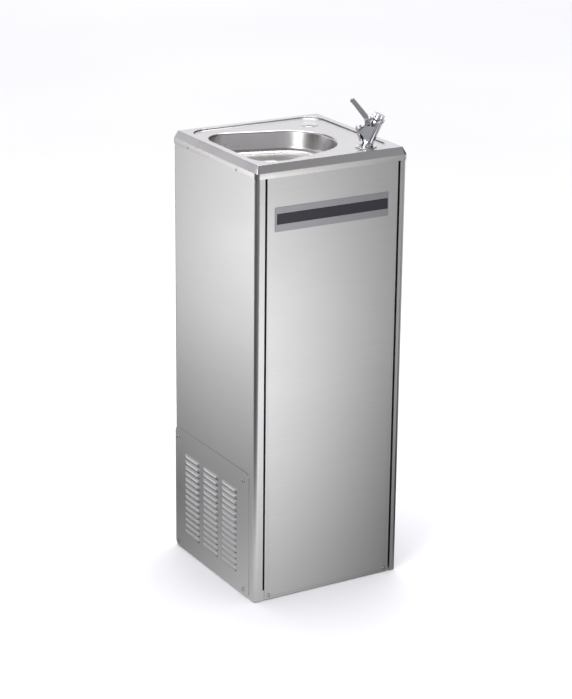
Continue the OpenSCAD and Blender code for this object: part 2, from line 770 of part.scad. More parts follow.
module base_tray() {
    color([0.55, 0.56, 0.57]) difference() {
        translate([0, 0, hem_z]) linear_extrude(base_z - hem_z) tray_outline(0);
        translate([0, 0, hem_z - 1]) linear_extrude(base_z - base_t - hem_z + 1) tray_outline(base_t);
        for (sx = [-1, 1], sy = [-1, 1]) {
            translate([sx * foot_x, sy * foot_y, 0]) cylinder(r = foot_hole_r, h = base_z + 1);
            translate([sx * floor_bolt_x / 2, sy * floor_bolt_y / 2, 0])
                cylinder(r = bolt_hole_r, h = base_z + 1);
            translate([comp_x + sx * comp_foot[0], comp_y + sy * comp_foot[1], 0])
                cylinder(r = comp_bolt_r + 0.3, h = base_z + 1);
        }
        for (x = [fp_x0 + front_screw_in, fp_x1 - front_screw_in])
            translate([x, tongue_y - 1, front_screw_z]) rotate([-90, 0, 0])
                cylinder(r = screw_r + 0.1, h = base_t + 2);
        for (s = [-1, 1], y = acc_screw_y) translate([s * (hx - 10), y, acc_screw_z[0]])
            rotate([0, s * 90, 0]) cylinder(r = screw_r + 0.3, h = 12);
    }
}

module tank_shelf() {
    w = body_w - 2 * sheet_t;
    y0 = tank_y - foam_r - 6;
    d = rear_y - sheet_t - y0;
    color([0.58, 0.59, 0.60]) difference() {
        union() {
            translate([-w / 2, y0, shelf_z - shelf_t]) cube([w, d, shelf_t]);
            for (x = [-w / 2, w / 2 - shelf_t]) translate([x, y0, shelf_z - 22]) cube([shelf_t, d, 22]);
            translate([-w / 2, y0, shelf_z - 22]) cube([w, shelf_t, 22]);
        }
        translate([tank_x + coil_r, tank_y, shelf_z - 5]) cylinder(r = line_r + 1, h = 10);
        translate([tank_x - coil_r, tank_y, shelf_z - 5]) cylinder(r = 3, h = 10);
        translate([inlet_x, tank_y, shelf_z - 5]) cylinder(r = water_r + 3, h = 10);
    }
}

module levelling_foot(sx, sy) {
    color([0.25, 0.25, 0.26]) translate([sx * foot_x, sy * foot_y, 0]) {
        rotate_extrude() polygon([[0, 0], [foot_pad_r - 1, 0], [foot_pad_r, 1],
            [foot_pad_r - 1, foot_pad_h - 2], [foot_stud_r + 2, foot_pad_h], [0, foot_pad_h]]);
        translate([0, 0, foot_pad_h - eps])
            cylinder(r = foot_stud_r, h = base_z + foot_nut_h + 16 - foot_pad_h);
    }
}

module levelling_foot_fl() {
    levelling_foot(-1, -1);
}

module levelling_foot_fr() {
    levelling_foot(1, -1);
}

module levelling_foot_rl() {
    levelling_foot(-1, 1);
}

module levelling_foot_rr() {
    levelling_foot(1, 1);
}

module foot_nuts() {
    color([0.6, 0.6, 0.6]) for (sx = [-1, 1], sy = [-1, 1])
        translate([sx * foot_x, sy * foot_y, base_z])
            hex_ring(foot_stud_r * 3.4, foot_nut_h, foot_stud_r + run_clear);
}

// ---------- deck fittings ----------

module blanking_plug() {
    dome = 3;
    dome_r = (plug_r * plug_r + dome * dome) / (2 * dome);
    rise = asin(plug_r / dome_r);
    color([0.86, 0.86, 0.88]) translate([tap_x, plug_y, recess_z]) {
        rotate_extrude() polygon(concat([[0, 0], [plug_r, 0]],
            arc2([0, 0.5 + dome - dome_r], dome_r, 90 - rise, 90, 8)));
        translate([0, 0, -22]) cylinder(r = plug_stem_r, h = 22 + eps);
    }
}

module plug_nut() {
    color([0.75, 0.68, 0.45]) translate([tap_x, plug_y, recess_z - sheet_t - 6])
        hex_ring(27, 6, plug_stem_r + run_clear);
}

module tap_flange() {
    color([0.88, 0.88, 0.9]) tap_frame() difference() {
        rotate_extrude() polygon([[0, 0], [flange_r, 0], [flange_r, flange_h * 0.45],
            [flange_r - 1.2, flange_h * 0.85], [flange_r - 4, flange_h], [0, flange_h]]);
        translate([0, 0, -1]) cylinder(r = shank_r + run_clear, h = flange_h + 2);
    }
}

// Web between barrel and arm, side faces on the planes tangent to both
module side_plane(s, depth) {
    n = unit([pb, s, pc]);
    up = unit([0, 0, 1] - n[2] * n);
    along = cross(n, up);
    at = [0, s * pa, 0] - depth * n;
    multmatrix([[along[0], n[0], up[0], at[0]], [along[1], n[1], up[1], at[1]],
                [along[2], n[2], up[2], at[2]], [0, 0, 0, 1]])
        translate([-60, 0, -60]) cube([120, 40, 160]);
}

module tap_body() {
    cheek_x = pivot[0];
    color([0.86, 0.86, 0.88]) tap_frame() {
        difference() {
            union() {
                barrel_frame() translate([0, 0, -14]) cylinder(r = barrel_r, h = barrel_len + 14);
                arm_frame() translate([0, 0, -8]) cylinder(r = arm_r, h = arm_len + 8);
                arm_frame() translate([0, 0, arm_len]) sphere(arm_r);
                difference() {
                    tap_slab(web_points, 20);
                    side_plane(1, 0);
                    side_plane(-1, 0);
                }
                translate([cheek_x - 5, -cheek_half, 40]) cube([9, 2 * cheek_half, 14]);
                translate([cheek_x - 0.5, 0, pivot[2]]) rotate([90, 0, 0])
                    cylinder(r = 4.5, h = 2 * cheek_half, center = true);
                cylinder(r = 16, h = 8);
            }
            translate([-50, -50, -40 + flange_h]) cube([100, 100, 40]);
            for (s = [-1, 1]) intersection() {
                tap_slab(inlay_points, 30);
                side_plane(s, inlay_t + inlay_inset);
            }
            translate([cheek_x - 12, -lever_half - lever_side, pivot[2] - hub_r - 1.2])
                cube([24, 2 * (lever_half + lever_side), 30]);
            barrel_frame() {
                translate([0, 0, chamber_low]) cylinder(r = stem_r + run_clear, h = barrel_len);
                translate([0, -lever_half - lever_side, tongue_l - tongue_half - 2])
                    cube([30, 2 * (lever_half + lever_side), 30]);
            }
            translate([cheek_x, 0, pivot[2]]) rotate([90, 0, 0])
                cylinder(r = pivot_r + eps, h = 3 * cheek_half, center = true);
            arm_frame() {
                translate([-2.2, -arm_r - 1, arm_len - 5]) cube([4.4, 2 * arm_r + 2, arm_r + 10]);
                translate([0, 0, 18]) cylinder(r = 2.1, h = arm_len);
            }
            translate([xz(barrel_at(18, 0))[0], 0, 22]) rotate([0, 90, 0]) cylinder(r = 2, h = 18);
        }
        difference() {
            translate([0, 0, -shank_len]) cylinder(r = shank_r, h = shank_len + flange_h);
            translate([0, 0, -shank_len - 1]) cylinder(r = water_r - 0.5, h = shank_len + flange_h + 2);
        }
    }
}

module tap_inlays() {
    color([0.56, 0.57, 0.6]) tap_frame() for (s = [-1, 1]) difference() {
        intersection() {
            tap_slab(inlay_points, 30);
            side_plane(s, inlay_t + inlay_inset);
        }
        side_plane(s, inlay_inset);
        barrel_frame() translate([0, 0, chamber_low]) cylinder(r = stem_r + 0.2, h = barrel_len);
    }
}

module tap_nozzle() {
    color([0.8, 0.75, 0.55]) tap_frame() arm_frame() difference() {
        translate([0, 0, arm_len - 11]) cylinder(r = 2.05, h = 9);
        translate([0, 0, arm_len - 12]) cylinder(r = 1, h = 11);
    }
}

module bonnet_nut() {
    color([0.86, 0.86, 0.88]) tap_frame() barrel_frame() difference() {
        union() {
            translate([0, 0, nut_low]) cylinder(r = nut_collar_r, h = nut_collar_h);
            translate([0, 0, nut_low]) cylinder(r = nut_top_r, h = nut_h);
        }
        translate([0, 0, nut_low - 1]) cylinder(r = nut_bore_r, h = nut_h - nut_cap + 1);
        for (i = [0:7]) rotate([0, 0, 45 * i + 22.5])
            translate([nut_top_r + 0.6, 0, nut_low + nut_collar_h + 1.5])
            cylinder(r = 2.4, h = nut_h);
        for (i = [0:5]) rotate([0, 0, 60 * i]) translate([nut_collar_r + 2.2, 0, nut_low - 1])
            cylinder(r = 3, h = nut_collar_h + 2);
    }
}

// Lever: hub on the pin, tongue into the stem, neck and paddle rising to the front
module tap_lever() {
    q = xz(pivot);
    front = xz(barrel_at(tongue_l, barrel_r + 1));
    top_mid = q + [-3.4, 9.4];
    low_mid = q + [5.6, 5.4];
    color([0.84, 0.84, 0.86]) tap_frame() difference() {
        union() {
            translate([pivot[0], 0, pivot[2]]) rotate([90, 0, 0])
                cylinder(r = hub_r, h = 2 * lever_half, center = true);
            tap_slab([front + [-1.5, -2.1], front + [-1.5, 2.2], q + [-2, 4], q + [2.5, 3.5],
                q + [0, -2.5]], lever_half);
            barrel_frame() {
                translate([stem_r + 0.8, -lever_half, tongue_l - tongue_half])
                    cube([barrel_r - stem_r - 0.6, 2 * lever_half, 2 * tongue_half]);
                translate([-2.5, -1.4, tongue_l - tongue_half])
                    cube([stem_r + 4, 2.8, 2 * tongue_half]);
            }
            tap_slab([q + [-3.8, 1.5], top_mid, top_mid + [1.8, 2.4], low_mid + [1.8, 2.4],
                low_mid, q + [4.2, 0.5]], lever_half);
            tap_slab(concat([q + [-2.6, 10.6]], arc2(q + [30.2, 41.8], 4.4, 138, -40, 8),
                [q + [27.5, 33.5], low_mid + [0.6, 0.6]]), paddle_w / 2);
        }
        translate([pivot[0], 0, pivot[2]]) rotate([90, 0, 0])
            cylinder(r = pivot_r + run_clear, h = 20, center = true);
        translate([q[0] + 32.2, 0, q[1] + 36.2]) rotate([90, 0, 0])
            cylinder(r = 2.2, h = paddle_w + 2, center = true);
    }
}

module lever_pin() {
    color([0.7, 0.7, 0.7]) tap_frame() translate(pivot) rotate([90, 0, 0])
        cylinder(r = pivot_r, h = 2 * cheek_half - 0.6, center = true);
}

module valve_stem() {
    color([0.8, 0.72, 0.45]) tap_frame() barrel_frame() difference() {
        translate([0, 0, stem_low]) cylinder(r = stem_r, h = stem_top - stem_low);
        translate([-stem_r - 1, -1.8, tongue_l - 3]) cube([2 * stem_r + 2, 3.6, 6]);
    }
}

module stem_spring() {
    room = nut_low + nut_h - nut_cap - stem_top;
    color([0.6, 0.6, 0.62]) tap_frame() barrel_frame()
        translate([0, 0, stem_top + spring_wire + 0.05])
            helix(stem_r - 1, spring_wire, room - 2 * spring_wire - 0.1, spring_turns);
}

module shank_nut() {
    color([0.78, 0.7, 0.45]) tap_frame() translate([0, 0, -sheet_t - 3 - 8])
        hex_ring(30, 8, shank_r + run_clear);
}

module shank_washer() {
    color([0.12, 0.12, 0.12]) tap_frame() translate([0, 0, -sheet_t - 3]) difference() {
        cylinder(r = 17, h = 3);
        translate([0, 0, -1]) cylinder(r = shank_r + 0.2, h = 5);
    }
}

// ---------- waste ----------

module waste_frame() {
    translate([waste_x, basin_y, sump_z]) children();
}

module waste_strainer() {
    color([0.75, 0.75, 0.77]) waste_frame() translate([0, 0, waste_flange_h - 2]) difference() {
        cylinder(r = strainer_r, h = 1.5);
        translate([0, 0, -1]) cylinder(r = 2.1, h = 4);
        for (ring = [[8, 6], [14.5, 10], [21, 16]], i = [0:ring[1] - 1])
            rotate([0, 0, 360 * i / ring[1]]) translate([ring[0], 0, -1])
                cylinder(r = 2.3, h = 4, $fn = 24);
    }
}

module strainer_screw() {
    color([0.72, 0.72, 0.72]) waste_frame() translate([0, 0, waste_flange_h - 0.5])
        pan_screw(4, 1.6, 2, 12);
}

module waste_body() {
    color([0.72, 0.72, 0.74]) waste_frame() {
        difference() {
            union() {
                cylinder(r = waste_flange_r, h = waste_flange_h);
                translate([0, 0, -waste_tube_len]) cylinder(r = waste_tube_r, h = waste_tube_len + eps);
            }
            translate([0, 0, waste_flange_h - 2]) cylinder(r = strainer_r + 0.3, h = 4);
            translate([0, 0, -waste_tube_len - 1]) cylinder(r = waste_r + 0.1, h = waste_tube_len + 6);
        }
        difference() {
            translate([-waste_r - 1, -3.5, -12]) cube([2 * waste_r + 2, 7, 10]);
            translate([0, 0, -13]) cylinder(r = 2.05, h = 12);
        }
    }
}

module waste_gasket() {
    color([0.1, 0.1, 0.1]) waste_frame() translate([0, 0, -sheet_t - 3]) difference() {
        cylinder(r = 30, h = 3);
        translate([0, 0, -1]) cylinder(r = waste_tube_r + 0.2, h = 5);
    }
}

module waste_nut() {
    color([0.35, 0.35, 0.36]) waste_frame() translate([0, 0, -sheet_t - 3 - 10])
        hex_ring(54, 10, waste_tube_r + run_clear);
}

module waste_pipe() {
    elbow = 34;
    top = sump_z - waste_tube_len + 22;
    path = [[waste_x, basin_y, top], [waste_x, basin_y, waste_z], [waste_x, hy - 2, waste_z]];
    color([0.8, 0.8, 0.78]) difference() {
        union() {
            pipe_run(path, waste_r, elbow);
            translate([waste_x, rear_y - 6, waste_z]) rotate([-90, 0, 0])
                cylinder(r = waste_r + 3, h = 3);
        }
        pipe_run([path[0] + [0, 0, 1], path[1], path[2] + [0, 1, 0]], waste_r - 2, elbow);
    }
}

// ---------- cooling set ----------

module compressor() {
    plate = [2 * comp_foot[0] + 24, 2 * comp_foot[1] + 24, 3];
    color([0.13, 0.13, 0.14]) translate([comp_x, comp_y, comp_z]) {
        difference() {
            translate([-plate[0] / 2, -plate[1] / 2, 0]) cube(plate);
            for (sx = [-1, 1], sy = [-1, 1]) translate([sx * comp_foot[0], sy * comp_foot[1], -1])
                cylinder(r = comp_bolt_r + 1, h = 5);
        }
        translate([0, 0, plate[2] - eps]) rotate_extrude() polygon(concat([[0, 0], [comp_r - 14, 0]],
            arc2([comp_r - 14, 12], 12, -90, 0, 5), [[comp_r - 2, comp_h * 0.45], [comp_r, comp_h * 0.45],
            [comp_r, comp_h * 0.5], [comp_r - 2, comp_h * 0.5]],
            arc2([comp_r - 30, comp_h - 28], 28, 0, 90, 6), [[0, comp_h]]));
    }
}

module compressor_grommets() {
    color([0.08, 0.08, 0.08]) for (sx = [-1, 1], sy = [-1, 1])
        translate([comp_x + sx * comp_foot[0], comp_y + sy * comp_foot[1], base_z]) difference() {
            cylinder(r = 9, h = grommet_h);
            translate([0, 0, -1]) cylinder(r = comp_bolt_r + 0.3, h = grommet_h + 2);
        }
}

module compressor_bolts() {
    color([0.6, 0.6, 0.6]) for (sx = [-1, 1], sy = [-1, 1])
        translate([comp_x + sx * comp_foot[0], comp_y + sy * comp_foot[1], base_z - base_t - 4]) {
            cylinder(r = comp_bolt_r, h = grommet_h + base_t + 10);
            translate([0, 0, grommet_h + base_t + 7]) cylinder(r = 5.8, h = 4, $fn = 6);
        }
}

module terminal_cover() {
    color([0.16, 0.16, 0.17]) translate([comp_x - 26, comp_y - comp_r - 23, comp_z + 40]) difference() {
        cube([52, 26, 46]);
        translate([26, 23 + comp_r, -1]) cylinder(r = comp_r + 0.4, h = 50);
    }
}

module condenser_coil() {
    color([0.15, 0.15, 0.15]) {
        for (i = [0:coil_passes - 1]) translate([coil_x, -coil_y, fin_z + coil_pitch * (i + 0.5)])
            rotate([-90, 0, 0]) cylinder(r = line_r, h = 2 * coil_y);
        for (i = [0:coil_passes - 2]) {
            s = i % 2 == 0 ? 1 : -1;
            translate([coil_x, s * coil_y, fin_z + coil_pitch * (i + 1)])
                rotate([90, 0, s * 90]) rotate([0, 0, -90])
                    rotate_extrude(angle = 180) translate([coil_pitch / 2, 0]) circle(line_r);
        }
        pipe_run([[coil_x, -coil_y, fin_z + coil_pitch / 2], [coil_x, drier_y, fin_z + coil_pitch / 2],
            [coil_x, drier_y, drier_z]], line_r, bend_r);
    }
}

module condenser_fins() {
    step = (fin_block - fin_t) / (fin_count - 1);
    color([0.72, 0.73, 0.75]) for (i = [0:fin_count - 1])
        translate([fin_x, -fin_block / 2 + i * step + fin_t, fin_z]) rotate([90, 0, 0])
            linear_extrude(fin_t) difference() {
                square([fin_depth, fin_block]);
                for (k = [0:coil_passes - 1])
                    translate([fin_depth / 2, coil_pitch * (k + 0.5)]) circle(line_r + 0.1, $fn = 24);
            }
}

module fan_shroud() {
    side = fin_block + 8;
    post = 12;
    post_z = throat_r + 12;
    color([0.3, 0.31, 0.32]) difference() {
        union() {
            translate([shroud_x, -side / 2, fin_z - 4]) cube([1.5, side, side]);
            translate([shroud_x, 0, fan_z]) rotate([0, 90, 0]) cylinder(r = throat_r + 2, h = throat_d);
            for (s = [-1, 1]) translate([shroud_x, -post / 2, fan_z + s * post_z - post / 2])
                cube([bridge_x - shroud_x + 2, post, post]);
            translate([bridge_x, -post / 2, fan_z - post_z]) cube([2, post, 2 * post_z]);
            translate([bridge_x, 0, fan_z]) rotate([0, 90, 0]) cylinder(r = 16, h = 2);
        }
        translate([shroud_x - 1, 0, fan_z]) rotate([0, 90, 0]) cylinder(r = throat_r, h = throat_d + 2);
        translate([bridge_x - 1, 0, fan_z]) rotate([0, 90, 0]) cylinder(r = shaft_r + 2, h = 4);
    }
}

module fan_motor() {
    color([0.2, 0.2, 0.22]) translate([bridge_x + 2, 0, fan_z]) rotate([0, 90, 0]) difference() {
        union() {
            cylinder(r = motor_r, h = motor_len);
            translate([0, 0, 10]) cylinder(r = motor_r + 3, h = motor_len - 20);
        }
        translate([0, 0, -1]) cylinder(r = shaft_r + run_clear, h = 26);
    }
}

module fan_blade() {
    hub_x = bridge_x - 14;
    color([0.75, 0.76, 0.78]) translate([hub_x, 0, fan_z]) rotate([0, 90, 0]) {
        cylinder(r = 12, h = 9);
        cylinder(r = shaft_r, h = bridge_x + 2 + 22 - hub_x);
        for (i = [0:4]) rotate([0, 0, 72 * i]) intersection() {
            translate([0, 0, 4.5]) rotate([28, 0, 0]) translate([8, -11, -0.6]) cube([fan_r, 22, 1.2]);
            translate([0, 0, -10]) cylinder(r = fan_r, h = 30);
        }
    }
}

module filter_drier() {
    color([0.72, 0.45, 0.3]) translate([coil_x, drier_y, drier_z]) rotate_extrude()
        polygon([[0, 0], [line_r + 0.5, 0], [line_r + 1, 5], [drier_r, 14], [drier_r, drier_h - 14],
            [3.5, drier_h - 5], [2.5, drier_h], [0, drier_h]]);
}

module capillary_tube() {
    z = shelf_z - 36;
    color([0.72, 0.42, 0.26]) pipe_run([[coil_x, drier_y, drier_z + drier_h], [coil_x, drier_y, z],
        [tank_x - coil_r, drier_y, z], [tank_x - coil_r, tank_y, z],
        [tank_x - coil_r, tank_y, coil_z - evap_r - 0.2]], 1.6, 8);
}

module suction_line() {
    x = tank_x + coil_r + 2 * bend_r + 1.4;
    z = shelf_z - 40;
    port_z = comp_z + 90;
    color([0.72, 0.42, 0.26]) pipe_run([[comp_x + comp_r - 0.5, comp_y, port_z], [x, comp_y, port_z],
        [x, comp_y, z], [tank_x + coil_r, tank_y, z], [tank_x + coil_r, tank_y, coil_z - evap_r - 0.2]],
        line_r, bend_r);
}

module discharge_line() {
    x = comp_x - comp_r - 30;
    y = coil_y + 16;
    port_z = comp_z + 90;
    color([0.72, 0.42, 0.26]) pipe_run([[comp_x - comp_r + 0.5, comp_y, port_z], [x, comp_y, port_z],
        [x, y, port_z], [x, y, coil_top + 30], [coil_x, y, coil_top + 30],
        [coil_x, y, coil_top], [coil_x, coil_y, coil_top]], line_r, 7);
}

module cooling_tank() {
    color([0.78, 0.78, 0.8]) {
        translate([tank_x, tank_y, tank_z]) rotate_extrude() polygon(concat([[0, 0]],
            arc2([tank_r - 12, 12], 12, -90, 0, 5), arc2([tank_r - 12, tank_h - 12], 12, 0, 90, 5),
            [[0, tank_h]]));
        for (s = [-1, 1]) translate([tank_x + s * 38, tank_y, tank_z + tank_h - 1])
            cylinder(r = stub_r, h = stub_z - tank_z - tank_h + 1);
    }
}

module evaporator_coil() {
    color([0.72, 0.42, 0.26]) translate([tank_x, tank_y, coil_z])
        helix(coil_r, evap_r, coil_h, 8);
}

module tank_foam() {
    color([0.9, 0.88, 0.8]) for (s = [0, 1]) difference() {
        translate([tank_x, tank_y, shelf_z]) rotate([0, 0, 180 * s + 0.05])
            rotate_extrude(angle = 179.9) polygon([[0, 0], [foam_r, 0], [foam_r, foam_h], [0, foam_h],
                [0, foam_h - foam_t], [foam_in_r, foam_h - foam_t], [foam_in_r, foam_t], [0, foam_t]]);
        for (q = [-1, 1]) translate([tank_x + q * 38, tank_y, shelf_z + foam_h - foam_t - 1])
            cylinder(r = stub_r + 1, h = foam_t + 2);
        translate([tank_x + coil_r, tank_y, shelf_z - 1]) cylinder(r = line_r + 1, h = foam_t + 2);
        translate([tank_x - coil_r, tank_y, shelf_z - 1]) cylinder(r = 3, h = foam_t + 2);
    }
}

module thermostat() {
    color([0.85, 0.85, 0.83]) difference() {
        translate([thermo_x - thermo_size[0] / 2, thermo_y, base_z]) cube(thermo_size);
        translate([thermo_x, thermo_y - 1, knob_z]) rotate([-90, 0, 0])
            cylinder(r = shaft_r + run_clear, h = 12);
    }
}

module thermostat_knob() {
    color([0.12, 0.12, 0.13]) translate([thermo_x, thermo_y - 0.4, knob_z]) rotate([90, 0, 0]) {
        difference() {
            cylinder(r = knob_r, h = knob_h);
            for (i = [0:11]) rotate([0, 0, 30 * i]) translate([knob_r + 1, 0, 2])
                cylinder(r = 2, h = knob_h, $fn = 24);
        }
        translate([-1, 2, knob_h - eps]) cube([2, knob_r - 4, 1]);
        translate([0, 0, -8]) cylinder(r = shaft_r, h = 8 + eps);
    }
}

// ---------- water and lead entries ----------

module inlet_fitting() {
    color([0.8, 0.7, 0.42]) translate([inlet_x, rear_y, inlet_z]) rotate([-90, 0, 0]) difference() {
        union() {
            translate([0, 0, -8]) cylinder(r = inlet_hex_r, h = 8, $fn = 6);
            translate([0, 0, -eps]) cylinder(r = inlet_r - 0.6, h = sheet_t + 2 * eps);
            translate([0, 0, sheet_t]) cylinder(r = inlet_hex_r, h = inlet_flange, $fn = 6);
            translate([0, 0, sheet_t + inlet_flange - eps])
                cylinder(r = inlet_r, h = rebate_d - 1 - sheet_t - inlet_flange + eps);
        }
        translate([0, 0, -9]) cylinder(r = water_r, h = rebate_d + 10);
    }
}

module inlet_line() {
    color([0.86, 0.86, 0.9]) pipe_run([[inlet_x, rear_y - 8, inlet_z], [inlet_x, tank_y, inlet_z],
        [inlet_x, tank_y, run_z], [tank_x - 38, tank_y, run_z], [tank_x - 38, tank_y, stub_z]],
        water_r, bend_r);
}

module cold_water_line() {
    color([0.86, 0.86, 0.9]) pipe_run([[tap_x, tank_y, stub_z], [tap_x, tank_y, run_z],
        [tap_x, tap_y, run_z], [tap_x, tap_y, recess_z - shank_len]], water_r, bend_r);
}

module cable_gland() {
    color([0.15, 0.15, 0.16]) translate([gland_x, rear_y + sheet_t, gland_z]) rotate([-90, 0, 0])
        difference() {
            union() {
                cylinder(r = 15, h = 5, $fn = 6);
                rotate_extrude() polygon([[0, 4], [12.5, 4], [12.5, 9], [9.5, 13], [0, 13]]);
                translate([0, 0, -12]) cylinder(r = gland_r, h = 13);
            }
            translate([0, 0, -13]) cylinder(r = cord_hole_r, h = 30);
        }
}

receptor_top();
left_side_panel();
right_side_panel();
back_panel();
front_panel();
locating_tab();
nameplate();
nameplate_band();
left_access_panel();
right_access_panel();
panel_screws();
skirt_screws();
base_tray();
tank_shelf();
levelling_foot_fl();
levelling_foot_fr();
levelling_foot_rl();
levelling_foot_rr();
foot_nuts();
blanking_plug();
plug_nut();
tap_flange();
tap_body();
tap_inlays();
tap_nozzle();
bonnet_nut();
tap_lever();
lever_pin();
valve_stem();
stem_spring();
shank_nut();
shank_washer();
waste_strainer();
strainer_screw();
waste_body();
waste_gasket();
waste_nut();
waste_pipe();
compressor();
compressor_grommets();
compressor_bolts();
terminal_cover();
condenser_coil();
condenser_fins();
fan_shroud();
fan_motor();
fan_blade();
filter_drier();
capillary_tube();
suction_line();
discharge_line();
cooling_tank();
evaporator_coil();
tank_foam();
thermostat();
thermostat_knob();
inlet_fitting();
inlet_line();
cold_water_line();
cable_gland();
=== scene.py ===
"""Free-standing chilled-water drinking fountain: pressed basin top, bubbler tap and brushed steel cabinet."""

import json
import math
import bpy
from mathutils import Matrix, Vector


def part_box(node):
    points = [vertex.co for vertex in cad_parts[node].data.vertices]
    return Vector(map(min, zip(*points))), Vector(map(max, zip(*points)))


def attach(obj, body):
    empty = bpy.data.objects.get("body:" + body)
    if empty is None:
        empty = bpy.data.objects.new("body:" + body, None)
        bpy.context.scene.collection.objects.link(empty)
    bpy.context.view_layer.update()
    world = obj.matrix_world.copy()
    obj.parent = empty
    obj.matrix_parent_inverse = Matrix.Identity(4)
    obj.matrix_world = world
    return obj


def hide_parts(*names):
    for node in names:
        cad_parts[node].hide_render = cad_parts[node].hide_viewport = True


bl_info = {
    "name": "Drinking Fountain",
    "version": (1, 0, 0),
    "blender": (4, 5, 0),
    "location": "View3D > Sidebar > Fountain",
    "description": "Builds the visible pieces and finishes of a cabinet drinking fountain",
    "category": "Object",
}

import bmesh
import bpy
from mathutils import Matrix, Vector

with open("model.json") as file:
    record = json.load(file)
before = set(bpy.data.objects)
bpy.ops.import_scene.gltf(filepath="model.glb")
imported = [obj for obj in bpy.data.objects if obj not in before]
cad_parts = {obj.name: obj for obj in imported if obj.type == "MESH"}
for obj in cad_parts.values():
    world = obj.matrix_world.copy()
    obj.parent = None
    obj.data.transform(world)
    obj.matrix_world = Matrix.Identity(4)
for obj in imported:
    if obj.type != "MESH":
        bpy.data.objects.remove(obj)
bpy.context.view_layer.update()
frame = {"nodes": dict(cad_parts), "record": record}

MM = 0.001
CABINET = "cabinet"
TOP_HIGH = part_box("receptor_top")[1]
CABINET_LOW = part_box("left_side_panel")[0]


def linear(hex_code):
    """An sRGB hex code as the linear colour that shaders take."""
    parts = [int(hex_code[i:i + 2], 16) / 255 for i in (0, 2, 4)]
    return tuple(c / 12.92 if c <= 0.04045 else ((c + 0.055) / 1.055) ** 2.4 for c in parts) + (1.0,)


# ---------- sizes and colours a user would change ----------


def length(name, description, default):
    """A length property, with its default in millimetres."""
    return bpy.props.FloatProperty(
        name=name, description=description, default=default * MM, min=0.0, unit="LENGTH", precision=4)


def colour(name, description, hex_code):
    """A colour property, with its default as an sRGB hex code."""
    return bpy.props.FloatVectorProperty(
        name=name, description=description, default=linear(hex_code),
        size=4, subtype="COLOR", min=0.0, max=1.0)


class FountainSizes(bpy.types.PropertyGroup):
    sheet: length("Sheet", "Thickness of the steel sheet", 1.2)
    skirt: length("Skirt", "Height of the receptor top's upright skirt", 12)
    bevel_drop: length("Bevel drop", "Fall of the sloping edge of the receptor top", 15)
    bevel_run: length("Bevel run", "Width of the sloping edge of the receptor top", 8.5)
    rim_r: length("Rim corner", "Corner radius of the skirt in plan", 10)
    border: length("Border", "Width of the raised border of the deck", 14.5)
    recess_r: length("Recess corner", "Corner radius of the sunk deck", 38)
    recess_depth: length("Recess depth", "Depth of the sunk deck below its border", 3)
    recess_step: length("Recess step", "Width of the sloping step round the sunk deck", 2.5)
    basin_left: length("Basin left", "Cabinet side to the basin's left lip", 27)
    basin_front: length("Basin front", "Cabinet front to the basin's front lip", 28)
    basin_back: length("Basin back", "Cabinet back to the basin's rear lip", 58)
    basin_right: length("Basin right", "Cabinet side to the basin's rounded tip", 81.5)
    basin_corner: length("Basin corner", "Radius of the basin's two left corners", 54)
    lip_r: length("Lip", "Radius of the basin's rolled lip", 6)
    wall: length("Wall", "Length of the basin's straight wall", 28)
    floor_r: length("Floor radius", "Radius between the basin's wall and floor", 16)
    floor_inset: length("Floor inset", "Inset of the basin's flat floor", 50)
    sump_r: length("Sump", "Radius of the sump round the waste", 44)
    sump_depth: length("Sump depth", "Depth of the sump below the floor", 8)
    sump_foot_r: length("Sump foot", "Radius of the sump's flat bottom", 32)
    waste_hole_r: length("Waste hole", "Radius of the hole in the sump", 20)
    tap_hole_r: length("Tap hole", "Radius of the tap's hole in the deck", 10.5)
    plug_hole_r: length("Plug hole", "Radius of the spare tap hole in the deck", 9)
    louvre: length("Louvre", "Length of one louvre", 65)
    louvre_h: length("Louvre height", "Height of one louvre", 9.4)
    louvre_out: length("Louvre depth", "How far a louvre stands out", 3.2)
    louvre_gap: length("Louvre gap", "Height of the slot under a louvre's lip", 3.2)
    louvre_foot: length("Louvre foot", "Panel's lower edge to the lowest louvre", 42)
    louvre_shift: length("Louvre shift", "How far the louvres lie behind the panel's middle", 3.3)
    louvre_pitch: length("Louvre pitch", "Height from louvre to louvre", 13.8)
    louvre_column: length("Louvre column", "Distance between columns of louvres", 83.5)
    panel_corner: length("Panel corner", "Corner radius of the louvred panels", 12)
    louvre_rows: bpy.props.IntProperty(
        name="Louvre rows", description="Louvres in a column", default=14, min=1)


class FountainColours(bpy.types.PropertyGroup):
    cabinet: colour("Cabinet steel", "Brushed stainless of the cabinet sheets", "D2D1D2")
    deck: colour("Deck steel", "Satin stainless of the receptor top", "DDDBDA")
    chrome: colour("Chrome", "Polished chrome of the tap", "E9E9EC")
    plate: colour("Nameplate", "Satin anodised nameplate", "A9A8AE")
    band: colour("Band", "Dark band on the nameplate", "20212A")
    inlay: colour("Inlay", "Satin plates let into the tap", "BDBFC7")


# ---------- mesh helpers ----------


def sizes():
    return bpy.context.scene.fountain_sizes


def colours():
    return bpy.context.scene.fountain_colours


def arc(centre, radius, start, end, steps):
    """Points on an arc in a plane, angles in radians."""
    angles = [start + (end - start) * i / steps for i in range(steps + 1)]
    return [(centre[0] + radius * math.cos(a), centre[1] + radius * math.sin(a)) for a in angles]


def rounded(points, radii, steps=5):
    """An open line through points with each inner corner rounded to its radius."""
    line = [points[0]]
    for before, here, after, radius in zip(points, points[1:], points[2:], radii):
        p, a, b = Vector(here), Vector(before), Vector(after)
        u, v = (a - p).normalized(), (b - p).normalized()
        half = u.angle(v) / 2
        reach = radius / math.tan(half)
        centre = p + (u + v).normalized() * (radius / math.sin(half))
        start, end = p + u * reach - centre, p + v * reach - centre
        turn = start.angle_signed(end)
        for i in range(steps + 1):
            line.append(tuple(centre + Matrix.Rotation(-turn * i / steps, 2) @ start))
    line.append(points[-1])
    return line


